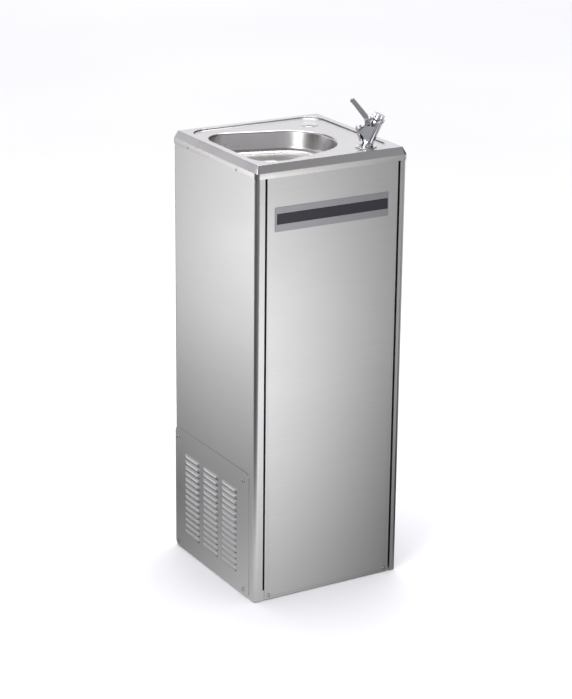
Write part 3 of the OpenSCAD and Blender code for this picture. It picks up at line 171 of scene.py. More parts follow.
def corner_ring(centre_x, centre_y, radius, steps=10):
    """A rounded rectangle about the origin, from its corner centres and their radius."""
    ring = []
    for sx, sy, start in ((1, 1, 0), (-1, 1, 90), (-1, -1, 180), (1, -1, 270)):
        first = math.radians(start)
        ring += arc((sx * centre_x, sy * centre_y), radius, first, first + math.pi / 2, steps)
    return ring


def new_object(name, bm, material, body=CABINET):
    """Turns a bmesh into a named piece that rides on a body and takes a slot's finish."""
    mesh = bpy.data.meshes.new(name)
    bm.to_mesh(mesh)
    bm.free()
    for polygon in mesh.polygons:
        polygon.use_smooth = True
    made = bpy.data.objects.new(name, mesh)
    bpy.context.scene.collection.objects.link(made)
    mesh.materials.append(material)
    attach(made, body)
    return made


def ring_verts(bm, ring, z):
    return [bm.verts.new((x, y, z)) for x, y in ring]


def bridge(bm, outer, inner):
    """Faces between two rings of as many points, facing up where the inner ring lies inside."""
    count = len(outer)
    for i in range(count):
        k = (i + 1) % count
        bm.faces.new((outer[i], outer[k], inner[k], inner[i]))


def loop_edges(bm, ring):
    count = len(ring)
    return [bm.edges.get((ring[i], ring[(i + 1) % count])) or bm.edges.new((ring[i], ring[(i + 1) % count]))
            for i in range(count)]


def fill_between(bm, rings):
    """A flat sheet between an outer ring and the holes in it."""
    edges = [edge for ring in rings for edge in loop_edges(bm, ring)]
    bmesh.ops.triangle_fill(bm, use_beauty=True, use_dissolve=False, edges=edges, normal=(0, 0, 1))


def modifier(target, kind, name, **settings):
    made = target.modifiers.new(name, kind)
    for key, value in settings.items():
        setattr(made, key, value)
    return made


def sheet_metal(target, thickness):
    """Gives an open surface its sheet thickness, on the side away from its face."""
    modifier(target, "SOLIDIFY", "Sheet thickness", thickness=thickness, offset=-1.0, use_even_offset=True)
    modifier(target, "WEIGHTED_NORMAL", "Even shading", keep_sharp=True, weight=100)


def ease_edges(target, width, segments=2):
    """Breaks the sharp edges of a CAD piece, as deburring does."""
    modifier(target, "WELD", "Join faces", merge_threshold=0.002 * MM)
    modifier(target, "BEVEL", "Eased edges", width=width, segments=segments, limit_method="ANGLE",
             angle_limit=math.radians(35), harden_normals=True, use_clamp_overlap=True)


# ---------- materials ----------


def add(tree, kind, inputs=None, **settings):
    """Adds a shader node with its settings; an input takes a value or another node's output."""
    made = tree.nodes.new(kind)
    for key, value in settings.items():
        setattr(made, key, value)
    for key, value in (inputs or {}).items():
        if isinstance(value, bpy.types.NodeSocket):
            tree.links.new(value, made.inputs[key])
        else:
            made.inputs[key].default_value = value
    return made


def material(name, roughness, metallic=0.0, **sockets):
    """A material with a Principled shader, and its tree, object-space coordinates and shader."""
    made = bpy.data.materials.get(name)
    if made:
        bpy.data.materials.remove(made)
    made = bpy.data.materials.new(name)
    made.use_nodes = True
    tree = made.node_tree
    shader = tree.nodes["Principled BSDF"]
    shader.inputs["Roughness"].default_value = roughness
    shader.inputs["Metallic"].default_value = metallic
    for key, value in sockets.items():
        shader.inputs[key.replace("_", " ")].default_value = value
    place = add(tree, "ShaderNodeTexCoord").outputs["Object"]
    return made, tree, shader, place


def tint(tree, shader, factor, dark, light, low=0.3, high=0.7):
    """Runs the base colour between two colours by a pattern."""
    ramp = add(tree, "ShaderNodeMapRange", {0: factor, 1: low, 2: high})
    mixed = add(tree, "ShaderNodeMix", {0: ramp.outputs[0], 6: dark, 7: light}, data_type="RGBA")
    tree.links.new(mixed.outputs[2], shader.inputs["Base Color"])


def vary_roughness(tree, shader, factor, low, high):
    ranged = add(tree, "ShaderNodeMapRange", {0: factor, 1: 0.3, 2: 0.7, 3: low, 4: high})
    tree.links.new(ranged.outputs[0], shader.inputs["Roughness"])


def bump(tree, shader, height, strength, distance):
    made = add(tree, "ShaderNodeBump", {"Strength": strength, "Distance": distance, "Height": height})
    tree.links.new(made.outputs[0], shader.inputs["Normal"])


def scaled(tree, place, scale):
    return add(tree, "ShaderNodeMapping", {"Vector": place, "Scale": scale}).outputs[0]


def shade(base, factor):
    return tuple(c * factor for c in base[:3]) + (1.0,)


def brushed_stainless(name, base, grain, rough=(0.27, 0.33), depth=0.02):
    """Belt-ground 304 stainless: long level scratches that smear reflections upwards, with slow cloudiness.

    grain is the scratch spacing in millimetres; the real 0.3 mm is too fine to show, so it is drawn coarser.
    """
    made, tree, shader, place = material(name, rough[0], 1.0)
    lines = 1 / (grain * MM)
    along = lines / 90
    scratch = add(tree, "ShaderNodeTexNoise", {
        "Vector": scaled(tree, place, (along, along, lines)), "Scale": 1.0, "Detail": 3.0, "Roughness": 0.6})
    cloud = add(tree, "ShaderNodeTexNoise", {
        "Vector": scaled(tree, place, (3.0, 3.0, 9.0)), "Scale": 1.0, "Detail": 2.0})
    tint(tree, shader, scratch.outputs[0], shade(base, 0.96), shade(base, 1.0))
    both = add(tree, "ShaderNodeMath", {0: scratch.outputs[0], 1: cloud.outputs[0]}, operation="MULTIPLY_ADD")
    both.inputs[2].default_value = 0.25
    vary_roughness(tree, shader, both.outputs[0], *rough)
    bump(tree, shader, scratch.outputs[0], depth, 0.1 * MM)
    return made


def satin_pressing(name, base):
    """Deep-drawn 304 stainless, scoured to satin and buffed: nearly a mirror, softened by fine even grain."""
    made, tree, shader, place = material(name, 0.28, 1.0)
    grain = add(tree, "ShaderNodeTexNoise", {
        "Vector": scaled(tree, place, (250.0, 900.0, 900.0)), "Scale": 1.0, "Detail": 2.0})
    pull = add(tree, "ShaderNodeTexNoise", {
        "Vector": scaled(tree, place, (12.0, 12.0, 12.0)), "Scale": 1.0, "Detail": 3.0})
    tint(tree, shader, pull.outputs[0], shade(base, 0.93), base)
    vary_roughness(tree, shader, pull.outputs[0], 0.24, 0.32)
    bump(tree, shader, grain.outputs[0], 0.01, 0.05 * MM)
    return made


def polished_chrome(name, base):
    """Chrome plate on a polished brass casting: a mirror with faint waviness from the buffing wheel."""
    made, tree, shader, place = material(name, 0.04, 1.0)
    wave = add(tree, "ShaderNodeTexNoise", {
        "Vector": scaled(tree, place, (140.0, 140.0, 140.0)), "Scale": 1.0, "Detail": 1.0})
    tint(tree, shader, wave.outputs[0], shade(base, 0.95), base)
    vary_roughness(tree, shader, wave.outputs[0], 0.03, 0.07)
    bump(tree, shader, wave.outputs[0], 0.03, 0.1 * MM)
    return made


def metal(name, base, rough, grain, stretch=1.0, depth=0.08, dark=0.82):
    """A plain metal finish with grain of a size in millimetres, stretched where it was turned or drawn."""
    made, tree, shader, place = material(name, rough[0], 1.0)
    lines = 1 / (grain * MM)
    pattern = add(tree, "ShaderNodeTexNoise", {
        "Vector": scaled(tree, place, (lines, lines, lines * stretch)), "Scale": 1.0, "Detail": 3.0})
    tint(tree, shader, pattern.outputs[0], shade(base, dark), base)
    vary_roughness(tree, shader, pattern.outputs[0], *rough)
    bump(tree, shader, pattern.outputs[0], depth, 0.2 * MM)
    return made


def galvanised(name, base):
    """Hot-dip galvanised sheet: flat crystals of zinc some 8 mm across, each with its own grey and gloss."""
    made, tree, shader, place = material(name, 0.4, 1.0)
    spangle = add(tree, "ShaderNodeTexVoronoi", {"Vector": place, "Scale": 1 / (8 * MM)})
    grey = add(tree, "ShaderNodeSeparateColor", {0: spangle.outputs["Color"]})
    tint(tree, shader, grey.outputs[0], shade(base, 0.75), base, 0.0, 1.0)
    vary_roughness(tree, shader, grey.outputs[1], 0.32, 0.5)
    bump(tree, shader, spangle.outputs["Distance"], 0.05, 0.1 * MM)
    return made


def moulded(name, base, rough, grit, ior=1.5, depth=0.1):
    """A moulded or painted surface with a fine even texture, grit in millimetres."""
    made, tree, shader, place = material(name, rough, IOR=ior)
    texture = add(tree, "ShaderNodeTexNoise", {"Vector": place, "Scale": 1 / (grit * MM), "Detail": 3.0})
    tint(tree, shader, texture.outputs[0], shade(base, 0.85), base)
    vary_roughness(tree, shader, texture.outputs[0], rough * 0.9, min(1.0, rough * 1.15))
    bump(tree, shader, texture.outputs[0], depth, 0.1 * MM)
    return made


def make_finishes():
    """Every material slot of the record, with its finish."""
    c = colours()
    return {
        "cabinet_steel": brushed_stainless("brushed stainless sheet", c.cabinet, 2.4),
        "deck_steel": satin_pressing("satin stainless pressing", c.deck),
        # Mill-finish zinc: dull crystals on the hidden sheets
        "zinc_sheet": galvanised("galvanised sheet", linear("9DA0A2")),
        # Satin anodised aluminium: level silk that stays light from every side
        "nameplate": brushed_stainless("anodised aluminium plate", c.plate, 1.6, (0.3, 0.38), 0.03),
        # Screen-printed enamel ink: dark, even, faintly glossy
        "band": moulded("printed enamel band", c.band, 0.32, 1.2, 1.5, 0.03),
        # Cold-headed steel screws: bright with turned rings
        "screw_steel": metal("bright screw steel", linear("C9C9C6"), (0.18, 0.3), 0.8),
        "foot_zinc": metal("dark zinc plate", linear("55565A"), (0.35, 0.5), 1.5),
        "tap_chrome": polished_chrome("polished chrome plate", c.chrome),
        "inlay": metal("satin inlay plate", c.inlay, (0.3, 0.4), 0.6, 8.0, 0.05),
        "brass": metal("turned brass", linear("C9A24F"), (0.25, 0.38), 1.0, 10.0),
        "spring_steel": metal("spring wire", linear("9A9A9C"), (0.2, 0.3), 0.8),
        # EPDM rubber: matt black with a dusty bloom
        "rubber": moulded("black rubber", linear("1C1C1C"), 0.75, 1.0, 1.52, 0.3),
        "waste_steel": metal("satin waste steel", linear("BFC0C4"), (0.24, 0.34), 1.2),
        # ABS with spark-eroded texture
        "dark_plastic": moulded("dark moulded plastic", linear("26262A"), 0.5, 0.8, 1.5, 0.2),
        "pale_plastic": moulded("pale moulded plastic", linear("D9D8D2"), 0.45, 0.8, 1.5, 0.1),
        # Stoved gloss enamel on a pressed shell, with slight orange peel
        "compressor_paint": moulded("black stoving enamel", linear("17181A"), 0.22, 3.0, 1.5, 0.12),
        "condenser_paint": moulded("condenser enamel", linear("202124"), 0.35, 2.0, 1.5, 0.1),
        "fin_aluminium": metal("rolled fin aluminium", linear("C6C8CA"), (0.28, 0.4), 1.5, 6.0),
        # Drawn copper: warm, dulled in patches by handling
        "copper": metal("drawn copper tube", linear("B87350"), (0.22, 0.4), 3.0, 1.0, 0.04, 0.7),
        # Rigid polyurethane foam: matt, with open cells
        "foam": moulded("polyurethane foam", linear("D8C58A"), 0.9, 2.5, 1.45, 0.6),
    }


FINISH = {}


def finish_nodes(names):
    """Gives carried-over CAD pieces the finish of their slot."""
    slots = {row["node"]: row["material_slot"] for row in frame["record"]["subparts"]}
    for name in names:
        node = frame["nodes"][name]
        for index in range(len(node.material_slots)):
            node.material_slots[index].material = FINISH[slots[name]]


# ---------- receptor top ----------


class BasinOutline:
    """The basin's outline: two corner arcs on the left and a tip arc, joined by straight flanks."""

    FLANK = (0.28, 0.96)

    def __init__(self, s):
        half_x, half_y = -CABINET_LOW.x, -CABINET_LOW.y
        self.y = (s.basin_front - s.basin_back) / 2
        half = half_y - (s.basin_front + s.basin_back) / 2
        self.corner_r = s.basin_corner
        self.corner = (-half_x + s.basin_left + s.basin_corner, half - s.basin_corner)
        end = half_x - s.basin_right
        nx, ny = self.FLANK
        self.tip_r = (self.corner_r + ny * self.corner[1] - nx * (end - self.corner[0])) / (1 - nx)
        self.tip_x = end - self.tip_r

    def ring(self, inset):
        """The outline moved inwards, anticlockwise from the tip's lower end, always with as many points."""
        flank = math.atan2(self.FLANK[1], self.FLANK[0])
        cx, cy = self.corner
        tip = arc((self.tip_x, 0), self.tip_r - inset, -flank, flank, 48)
        upper = arc((cx, cy), self.corner_r - inset, flank, math.pi, 30)
        lower = arc((cx, -cy), self.corner_r - inset, math.pi, 2 * math.pi - flank, 30)
        points = []
        for piece, after in ((tip, upper), (upper, lower), (lower, tip)):
            points += piece
            a, b = piece[-1], after[0]
            points += [(a[0] + (b[0] - a[0]) * t / 8, a[1] + (b[1] - a[1]) * t / 8) for t in range(1, 8)]
        return [(x, y + self.y) for x, y in points]


def basin_profile(s):
    """The basin's section from lip to floor, as (inset, height below the deck)."""
    draft = math.radians(12)
    slope = math.radians(5)
    wall_a = math.pi / 2 - draft
    line = arc((0, -s.lip_r), s.lip_r, math.pi / 2, math.pi / 2 + wall_a, 10)
    end_x = line[-1][0] - s.wall * math.cos(wall_a)
    end_z = line[-1][1] - s.wall * math.sin(wall_a)
    centre = (end_x - s.floor_r * math.sin(wall_a), end_z + s.floor_r * math.cos(wall_a))
    line += arc(centre, s.floor_r, wall_a - math.pi / 2, slope - math.pi / 2, 14)
    fall = (s.floor_inset + line[-1][0]) * math.tan(slope)
    line.append((-s.floor_inset, line[-1][1] - fall))
    return [(-x, z) for x, z in line]


def circle_ring(x, y, radius, steps=64):
    return arc((x, y), radius, 0, 2 * math.pi, steps)[:-1]


class FOUNTAIN_OT_receptor_top(bpy.types.Operator):
    """Presses the receptor top: skirt, sloping edge, sunk deck and drawn basin, from one sheet"""

    bl_idname = "fountain.receptor_top"
    bl_label = "Receptor top"

    def execute(self, context):
        s = sizes()
        bm = bmesh.new()
        deck = TOP_HIGH.z
        cx, cy = TOP_HIGH.x - s.rim_r, TOP_HIGH.y - s.rim_r
        crease = s.rim_r - s.bevel_run
        sunk_c = (cx + crease - s.border - s.recess_r, cy + crease - s.border - s.recess_r)
        skirt_top = deck - s.bevel_drop
        rim = rounded([(s.rim_r, skirt_top - s.skirt), (s.rim_r, skirt_top), (crease, deck),
                       (crease - 6 * MM, deck)], [3 * MM, 1.1 * MM])
        rings = [ring_verts(bm, corner_ring(cx, cy, r), z) for r, z in rim[:-1] if r > 0]
        sunk = rounded([(s.recess_r + 4 * MM, deck), (s.recess_r, deck),
                        (s.recess_r - s.recess_step, deck - s.recess_depth),
                        (s.recess_r - s.recess_step - 4 * MM, deck - s.recess_depth)], [1.6 * MM, 1.6 * MM])
        rings += [ring_verts(bm, corner_ring(*sunk_c, r), z) for r, z in sunk[1:-1]]
        for outer, inner in zip(rings, rings[1:]):
            bridge(bm, outer, inner)
        outline = BasinOutline(s)
        plate = deck - s.recess_depth
        profile = basin_profile(s)
        basin = [ring_verts(bm, outline.ring(inset), plate + z) for inset, z in profile]
        for outer, inner in zip(basin, basin[1:]):
            bridge(bm, outer, inner)
        tap_low, tap_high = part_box("shank_washer")
        plug_low, plug_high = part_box("plug_nut")
        tap_at, plug_at = (tap_low + tap_high) / 2, (plug_low + plug_high) / 2
        holes = [ring_verts(bm, circle_ring(tap_at.x, tap_at.y, s.tap_hole_r, 32), plate),
                 ring_verts(bm, circle_ring(plug_at.x, plug_at.y, s.plug_hole_r, 32), plate)]
        fill_between(bm, [rings[-1], basin[0]] + holes)
        waste_low, waste_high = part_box("waste_body")
        waste = (waste_low + waste_high) / 2
        floor = plate + profile[-1][1]
        sump_line = rounded([(s.sump_r + 3 * MM, floor), (s.sump_r, floor),
                             (s.sump_foot_r, floor - s.sump_depth),
                             (s.waste_hole_r, floor - s.sump_depth)], [3 * MM, 2.5 * MM])
        sump = [ring_verts(bm, circle_ring(waste.x, waste.y, r), z) for r, z in sump_line[1:]]
        for outer, inner in zip(sump, sump[1:]):
            bridge(bm, outer, inner)
        fill_between(bm, [basin[-1], sump[0]])
        bmesh.ops.recalc_face_normals(bm, faces=bm.faces)
        if max(bm.faces, key=lambda f: f.calc_area()).normal.z < 0:
            bmesh.ops.reverse_faces(bm, faces=bm.faces)
        top = new_object("receptor_top_pressing", bm, FINISH["deck_steel"])
        sheet_metal(top, s.sheet)
        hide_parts("receptor_top")
        return {"FINISHED"}


# ---------- louvred access panels ----------


def louvre_lines(start, span, steps):
    return [start + span * i / steps for i in range(steps + 1)]


def dome(t):
    """The rise of a louvre's rounded end over its first stretch, 0 to 1."""
    t = min(max(t, 0.0), 1.0)
    return math.sqrt(1 - (1 - t) ** 2)


class FOUNTAIN_OT_access_panels(bpy.types.Operator):
    """Presses the two louvred access panels, each from one sheet with open-bottomed louvres"""

    bl_idname = "fountain.access_panels"
    bl_label = "Louvred access panels"

    def execute(self, context):
        for side, name in ((-1, "left_access_panel"), (1, "right_access_panel")):
            self.panel(side, name)
        return {"FINISHED"}

    def panel(self, side, node):
        s = sizes()
        low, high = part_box(node)
        face = -CABINET_LOW.x + s.sheet
        centre = (low.y + high.y) / 2 + s.louvre_shift
        first = low.z + s.louvre_foot
        columns = [centre + k * s.louvre_column - s.louvre / 2 for k in (-1, 0, 1)]
        rows = [first + s.louvre_pitch * i for i in range(s.louvre_rows)]
        gap = s.louvre_gap
        ys = [low.y] + [y for c in columns for y in louvre_lines(c, s.louvre, 26)] + [high.y]
        zs = [low.z] + [z for r in rows for z in [r] + louvre_lines(r + gap, s.louvre_h - gap, 7)] + [high.z]
        bm = bmesh.new()
        grid = [[bm.verts.new((side * (face + self.rise(y, z, columns, rows, gap)), y, z)) for y in ys]
                for z in zs]
        last_z, last_y = len(zs) - 1, len(ys) - 1
        for i in range(last_z):
            in_slot = any(abs(zs[i] - r) < 1e-7 for r in rows)
            for k in range(last_y):
                in_louvre = any(c - 1e-7 < ys[k] < c + s.louvre - 1e-7 for c in columns)
                if in_slot and in_louvre:
                    continue
                corners = []
                for m, n in ((i, k), (i, k + 1), (i + 1, k + 1), (i + 1, k)):
                    if m in (0, last_z) and n in (0, last_y):
                        corners += self.round_corner(bm, grid[m][n], m == 0, n == 0)
                    else:
                        corners.append(grid[m][n])
                bm.faces.new(corners if side > 0 else corners[::-1])
        for m, n in ((0, 0), (0, last_y), (last_z, 0), (last_z, last_y)):
            bm.verts.remove(grid[m][n])
        panel = new_object(node + "_sheet", bm, FINISH["cabinet_steel"])
        for polygon in panel.data.polygons:
            polygon.use_smooth = abs(polygon.normal.x) < 0.9999
        modifier(panel, "SOLIDIFY", "Sheet thickness", thickness=s.sheet, offset=-1.0, use_even_offset=True)
        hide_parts(node)

    def round_corner(self, bm, corner, at_foot, at_front):
        """An arc of new points in place of a sharp corner, in the order that its face runs."""
        x, y, z = corner.co
        radius = sizes().panel_corner
        centre = (y + (radius if at_front else -radius), z + (radius if at_foot else -radius))
        starts = {(True, True): 180, (True, False): 270, (False, False): 0, (False, True): 90}
        first = math.radians(starts[at_foot, at_front])
        return [bm.verts.new((x, py, pz)) for py, pz in arc(centre, radius, first, first + math.pi / 2, 8)]

    def rise(self, y, z, columns, rows, gap):
        """How far the sheet stands out at a point: a hood that swells to its open lower lip."""
        s = sizes()
        for r in rows:
            if r + gap - 1e-7 <= z <= r + s.louvre_h + 1e-7:
                for c in columns:
                    if c - 1e-7 <= y <= c + s.louvre + 1e-7:
                        up = (r + s.louvre_h - z) / (s.louvre_h - gap)
                        end = min(y - c, c + s.louvre - y) / (s.louvre_h * 0.8)
                        return s.louvre_out * dome(end) * (0.6 * dome(up / 0.25) + 0.4 * up)
        return 0.0


# ---------- carried-over pieces ----------


SHEETS = ("left_side_panel", "right_side_panel", "back_panel", "front_panel", "base_tray", "tank_shelf",
          "locating_tab")
TRIM = ("nameplate", "nameplate_band", "skirt_screws", "panel_screws", "blanking_plug", "plug_nut")
TAP = ("tap_flange", "tap_body", "tap_inlays", "tap_nozzle", "bonnet_nut", "tap_lever", "lever_pin",
       "valve_stem", "stem_spring", "shank_nut", "shank_washer")


class FOUNTAIN_OT_cabinet(bpy.types.Operator):
    """Finishes the cabinet's sheets, its nameplate and its screws"""

    bl_idname = "fountain.cabinet"
    bl_label = "Cabinet and trim"

    def execute(self, context):
        finish_nodes(SHEETS + TRIM)
        ease_edges(frame["nodes"]["front_panel"], 0.5 * MM)
        for name in ("nameplate", "blanking_plug"):
            ease_edges(frame["nodes"][name], 0.25 * MM)
        return {"FINISHED"}


class FOUNTAIN_OT_tap(bpy.types.Operator):
    """Finishes the bubbler tap"""

    bl_idname = "fountain.tap"
    bl_label = "Bubbler tap"

    def execute(self, context):
        finish_nodes(TAP)
        ease_edges(frame["nodes"]["tap_flange"], 0.6 * MM)
        ease_edges(frame["nodes"]["tap_body"], 0.5 * MM)
        ease_edges(frame["nodes"]["bonnet_nut"], 0.4 * MM)
        ease_edges(frame["nodes"]["tap_lever"], 1.0 * MM, 3)
        return {"FINISHED"}


class FOUNTAIN_OT_inside(bpy.types.Operator):
    """Finishes the waste, the cooling set, the plumbing and the feet"""

    bl_idname = "fountain.inside"
    bl_label = "Waste, cooling set and feet"

    def execute(self, context):
        done = set(SHEETS + TRIM + TAP) | {"receptor_top", "left_access_panel", "right_access_panel"}
        finish_nodes([name for name in frame["nodes"] if name not in done])
        return {"FINISHED"}


# ---------- stage ----------


def soft_box(name, place, target, size, power, tone=(1, 1, 1)):
    """A studio soft box aimed at a point."""
    data = bpy.data.lights.new(name, "AREA")
    data.shape = "RECTANGLE"
    data.size, data.size_y = size
    data.energy = power
    data.color = tone
    lamp = bpy.data.objects.new(name, data)
    lamp.location = place
    lamp.rotation_euler = (Vector(target) - Vector(place)).to_track_quat("-Z", "Y").to_euler()
    bpy.context.scene.collection.objects.link(lamp)
    return lamp


class FOUNTAIN_OT_stage(bpy.types.Operator):
    """Sets up the camera, the pale floor, the soft light and the world"""

    bl_idname = "fountain.stage"
    bl_label = "Studio"

    AZIMUTH, ELEVATION, ROLL = -30.476, 19.075, 0.621
    DISTANCE, TARGET = 4.7017, (-0.00121, 0.48554)
    LENS, SENSOR = 112.73305, 36.0
    STRIP_ALONG, STRIP_ACROSS = (0.506, -0.863, 0.0), (0.863, 0.506, 0.0)
    STRIP_HALF, STRIP_PEAK = 3.0, 2.0
    # Distance along the strip in metres, and how bright it is there
    STRIP_LEVELS = ((-3.0, 0.85), (-2.3, 0.77), (-1.9, 0.59), (-1.4, 0.36), (-0.6, 0.15), (0.0, 0.25),
                    (0.4, 0.34), (1.4, 0.60), (2.25, 0.94), (2.6, 0.6), (3.0, 0.6))

    # Shares of light that the dark flags and the ceiling leave in reflections
    FLAG, CEILING, OVERHEAD = 0.04, 0.25, 0.2
    HIGH_FLAG = (-0.3, 0.8, 0.52)

    def execute(self, context):
        self.camera(context.scene)
        self.floor()
        self.lights(context.scene)
        return {"FINISHED"}

    def camera(self, scene):
        az, el, roll = (math.radians(v) for v in (self.AZIMUTH, self.ELEVATION, self.ROLL))
        back = Vector((math.sin(az) * math.cos(el), -math.cos(az) * math.cos(el), math.sin(el)))
        across, height = self.TARGET
        target = Vector((across * math.cos(az), across * math.sin(az), height))
        right = (-back).cross(Vector((0, 0, 1))).normalized()
        up = right.cross(-back)
        side = right * math.cos(roll) + up * math.sin(roll)
        top = -right * math.sin(roll) + up * math.cos(roll)
        data = bpy.data.cameras.new("studio camera")
        data.sensor_width = self.SENSOR
        data.lens = self.LENS
        data.clip_end = 60
        camera = bpy.data.objects.new("studio camera", data)
        turn = Matrix((side, top, back)).transposed().to_4x4()
        camera.matrix_world = Matrix.Translation(target + back * self.DISTANCE) @ turn
        scene.collection.objects.link(camera)
        scene.camera = camera

    def floor(self):
        bm = bmesh.new()
        bmesh.ops.create_grid(bm, x_segments=1, y_segments=1, size=30)
        mesh = bpy.data.meshes.new("studio floor")
        bm.to_mesh(mesh)
        bm.free()
        made = bpy.data.objects.new("studio_floor", mesh)
        bpy.context.scene.collection.objects.link(made)
        mesh.materials.append(self.floor_paint())

    def floor_paint(self):
        """Matt white studio vinyl to the camera and the light. Reflections see a painted glow instead: a
        strip of light that fades towards the cabinet's foot, the fading being painted shade.
        """
        made, tree, shader, place = material("matt studio vinyl and painted glow strip", 0.9)
        cloud = add(tree, "ShaderNodeTexNoise", {"Vector": place, "Scale": 0.5, "Detail": 2.0})
        tint(tree, shader, cloud.outputs[0], linear("F4F4F5"), linear("FAFAFB"))
        along = add(tree, "ShaderNodeVectorMath", {0: place, 1: self.STRIP_ALONG}, operation="DOT_PRODUCT")
        span = add(tree, "ShaderNodeMapRange", {
            0: along.outputs["Value"], 1: -self.STRIP_HALF, 2: self.STRIP_HALF})
        across = add(tree, "ShaderNodeVectorMath", {0: place, 1: self.STRIP_ACROSS}, operation="DOT_PRODUCT")
        levels = add(tree, "ShaderNodeValToRGB", {0: span.outputs[0]})
        stops = levels.color_ramp.elements
        while len(stops) < len(self.STRIP_LEVELS):
            stops.new(0.5)
        for stop, (at, level) in zip(stops, self.STRIP_LEVELS):
            stop.position = (at / self.STRIP_HALF + 1) / 2
            stop.color = (level, level, level, 1.0)
        # painted shade in the reflections: the strip's levels and these side ramps dim the glow near the
        # cabinet's foot and off to its sides
        near_side = self.ramp(tree, across.outputs["Value"], -1.1, -0.45, 0.15, 1.6)
        far_side = self.ramp(tree, across.outputs["Value"], -0.45, 0.25, 1.0, 0.08)
        past_side = self.ramp(tree, across.outputs["Value"], 0.03, 0.3, 1.0, 0.12)
        both = add(tree, "ShaderNodeMath", {0: near_side, 1: far_side}, operation="MULTIPLY")
        side = add(tree, "ShaderNodeMath", {0: both.outputs[0], 1: past_side}, operation="MULTIPLY")
        level = add(tree, "ShaderNodeSeparateColor", {0: levels.outputs[0]})
        pool = add(tree, "ShaderNodeMath", {0: level.outputs[0], 1: side.outputs[0]}, operation="MULTIPLY")
        beyond = self.ramp(tree, across.outputs["Value"], 0.5, 1.4, 0.0, 0.3)
        sheet = add(tree, "ShaderNodeMath", {0: pool.outputs[0], 1: beyond}, operation="MAXIMUM")
        # painted glow: glossy rays see this emission in place of the floor, a painted reflection on the metal
        glow = add(tree, "ShaderNodeEmission", {
            "Color": linear("FFFFFF"), "Strength": self.bright(tree, sheet, self.STRIP_PEAK)})
        path = add(tree, "ShaderNodeLightPath")
        mixed = add(tree, "ShaderNodeMixShader", {
            0: path.outputs["Is Glossy Ray"], 1: shader.outputs[0], 2: glow.outputs[0]})
        tree.links.new(mixed.outputs[0], tree.nodes["Material Output"].inputs["Surface"])
        return made

    def bright(self, tree, value, factor):
        """A level multiplied by a factor."""
        return add(tree, "ShaderNodeMath", {0: value.outputs[0], 1: factor}, operation="MULTIPLY").outputs[0]

    def ramp(self, tree, value, low, high, at_low, at_high):
        """A smooth run from one level to another."""
        made = add(tree, "ShaderNodeMapRange", {0: value, 1: low, 2: high, 3: at_low, 4: at_high},
                   interpolation_type="SMOOTHSTEP")
        return made.outputs[0]

    def lights(self, scene):
        self.world(scene)
        soft_box("left soft box", (-2.4, -1.6, 2.2), (0, 0, 0.7), (1.0, 1.6), 25)
        soft_box("top soft box", (0.3, 0.6, 2.8), (0, 0, 0.9), (1.2, 1.2), 20)
        scene.view_settings.view_transform = "Standard"

    def world(self, scene):
        """An even white tent for the light. Reflections see a dim room in front, a ceiling and dark flags."""
        world = bpy.data.worlds.new("studio world")
        scene.world = world
        world.use_nodes = True
        tree = world.node_tree
        tent = tree.nodes["Background"]
        tent.inputs["Color"].default_value = linear("FBFBFF")
        tent.inputs["Strength"].default_value = 1.1
        place = add(tree, "ShaderNodeTexCoord").outputs["Generated"]
        axes = add(tree, "ShaderNodeSeparateXYZ", {0: place})
        behind = self.ramp(tree, axes.outputs["Y"], -0.55, 0.35, 0.45, 1.0)
        above = self.ramp(tree, axes.outputs["Z"], 0.55, 0.9, 0.0, self.OVERHEAD)
        ceiling = self.ramp(tree, axes.outputs["Z"], 0.56, 0.7, 1.0, self.CEILING)
        lit = add(tree, "ShaderNodeMath", {0: behind, 1: ceiling}, operation="MULTIPLY")
        open_sky = add(tree, "ShaderNodeMath", {0: lit.outputs[0], 1: above}, operation="MAXIMUM")
        right_flag = self.ramp(tree, axes.outputs["X"], 0.62, 0.76, 1.0, self.FLAG)
        left_flag = self.ramp(tree, axes.outputs["X"], -0.93, -0.82, 0.05, 1.0)
        high = add(tree, "ShaderNodeVectorMath", {0: place, 1: self.HIGH_FLAG}, operation="DOT_PRODUCT")
        high_flag = self.ramp(tree, high.outputs["Value"], 0.945, 0.975, 1.0, self.FLAG)
        sides = add(tree, "ShaderNodeMath", {0: right_flag, 1: left_flag}, operation="MULTIPLY")
        flags = add(tree, "ShaderNodeMath", {0: sides.outputs[0], 1: high_flag}, operation="MULTIPLY")
        level = add(tree, "ShaderNodeMath", {
            0: open_sky.outputs[0], 1: flags.outputs[0]}, operation="MULTIPLY")
        room = add(tree, "ShaderNodeBackground", {"Color": linear("FAFAFF"), "Strength": level.outputs[0]})
        path = add(tree, "ShaderNodeLightPath")
        mixed = add(tree, "ShaderNodeMixShader", {
            0: path.outputs["Is Glossy Ray"], 1: tent.outputs[0], 2: room.outputs[0]})
        tree.links.new(mixed.outputs[0], tree.nodes["World Output"].inputs["Surface"])


class FOUNTAIN_PT_panel(bpy.types.Panel):
    """Lists the fountain's sizes, colours and steps"""

    bl_idname = "FOUNTAIN_PT_panel"
    bl_label = "Drinking Fountain"
    bl_space_type = "VIEW_3D"
    bl_region_type = "UI"
    bl_category = "Fountain"

    def draw(self, context):
        for step in STEPS:
            self.layout.operator(step.bl_idname)
        for group in (context.scene.fountain_sizes, context.scene.fountain_colours):
            column = self.layout.column(align=True)
            for key in group.__annotations__:
                column.prop(group, key)


STEPS = (FOUNTAIN_OT_receptor_top, FOUNTAIN_OT_access_panels, FOUNTAIN_OT_cabinet, FOUNTAIN_OT_tap,
         FOUNTAIN_OT_inside, FOUNTAIN_OT_stage)
CLASSES = (FountainSizes, FountainColours) + STEPS + (FOUNTAIN_PT_panel,)


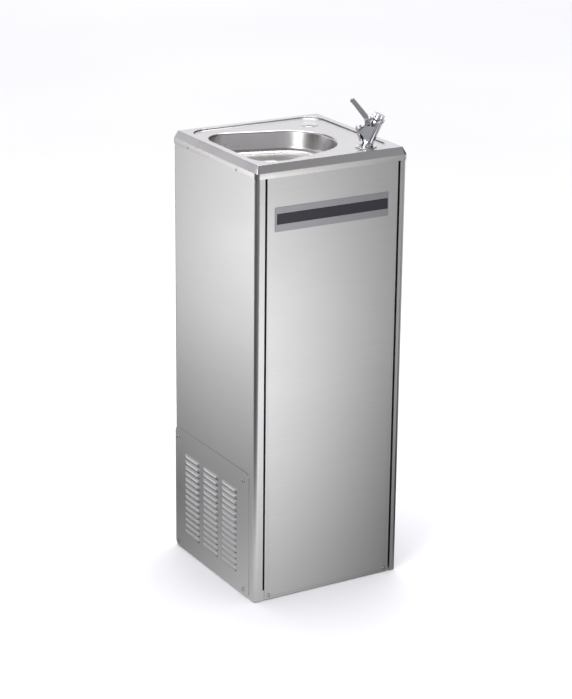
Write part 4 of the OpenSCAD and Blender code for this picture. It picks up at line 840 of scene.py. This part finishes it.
def register():
    for cls in CLASSES:
        bpy.utils.register_class(cls)
    bpy.types.Scene.fountain_sizes = bpy.props.PointerProperty(type=FountainSizes)
    bpy.types.Scene.fountain_colours = bpy.props.PointerProperty(type=FountainColours)


def unregister():
    del bpy.types.Scene.fountain_colours
    del bpy.types.Scene.fountain_sizes
    for cls in reversed(CLASSES):
        bpy.utils.unregister_class(cls)


def main():
    register()
    FINISH.update(make_finishes())
    for step in STEPS:
        group, name = step.bl_idname.split(".")
        getattr(getattr(bpy.ops, group), name)()


if __name__ == "__main__":
    main()
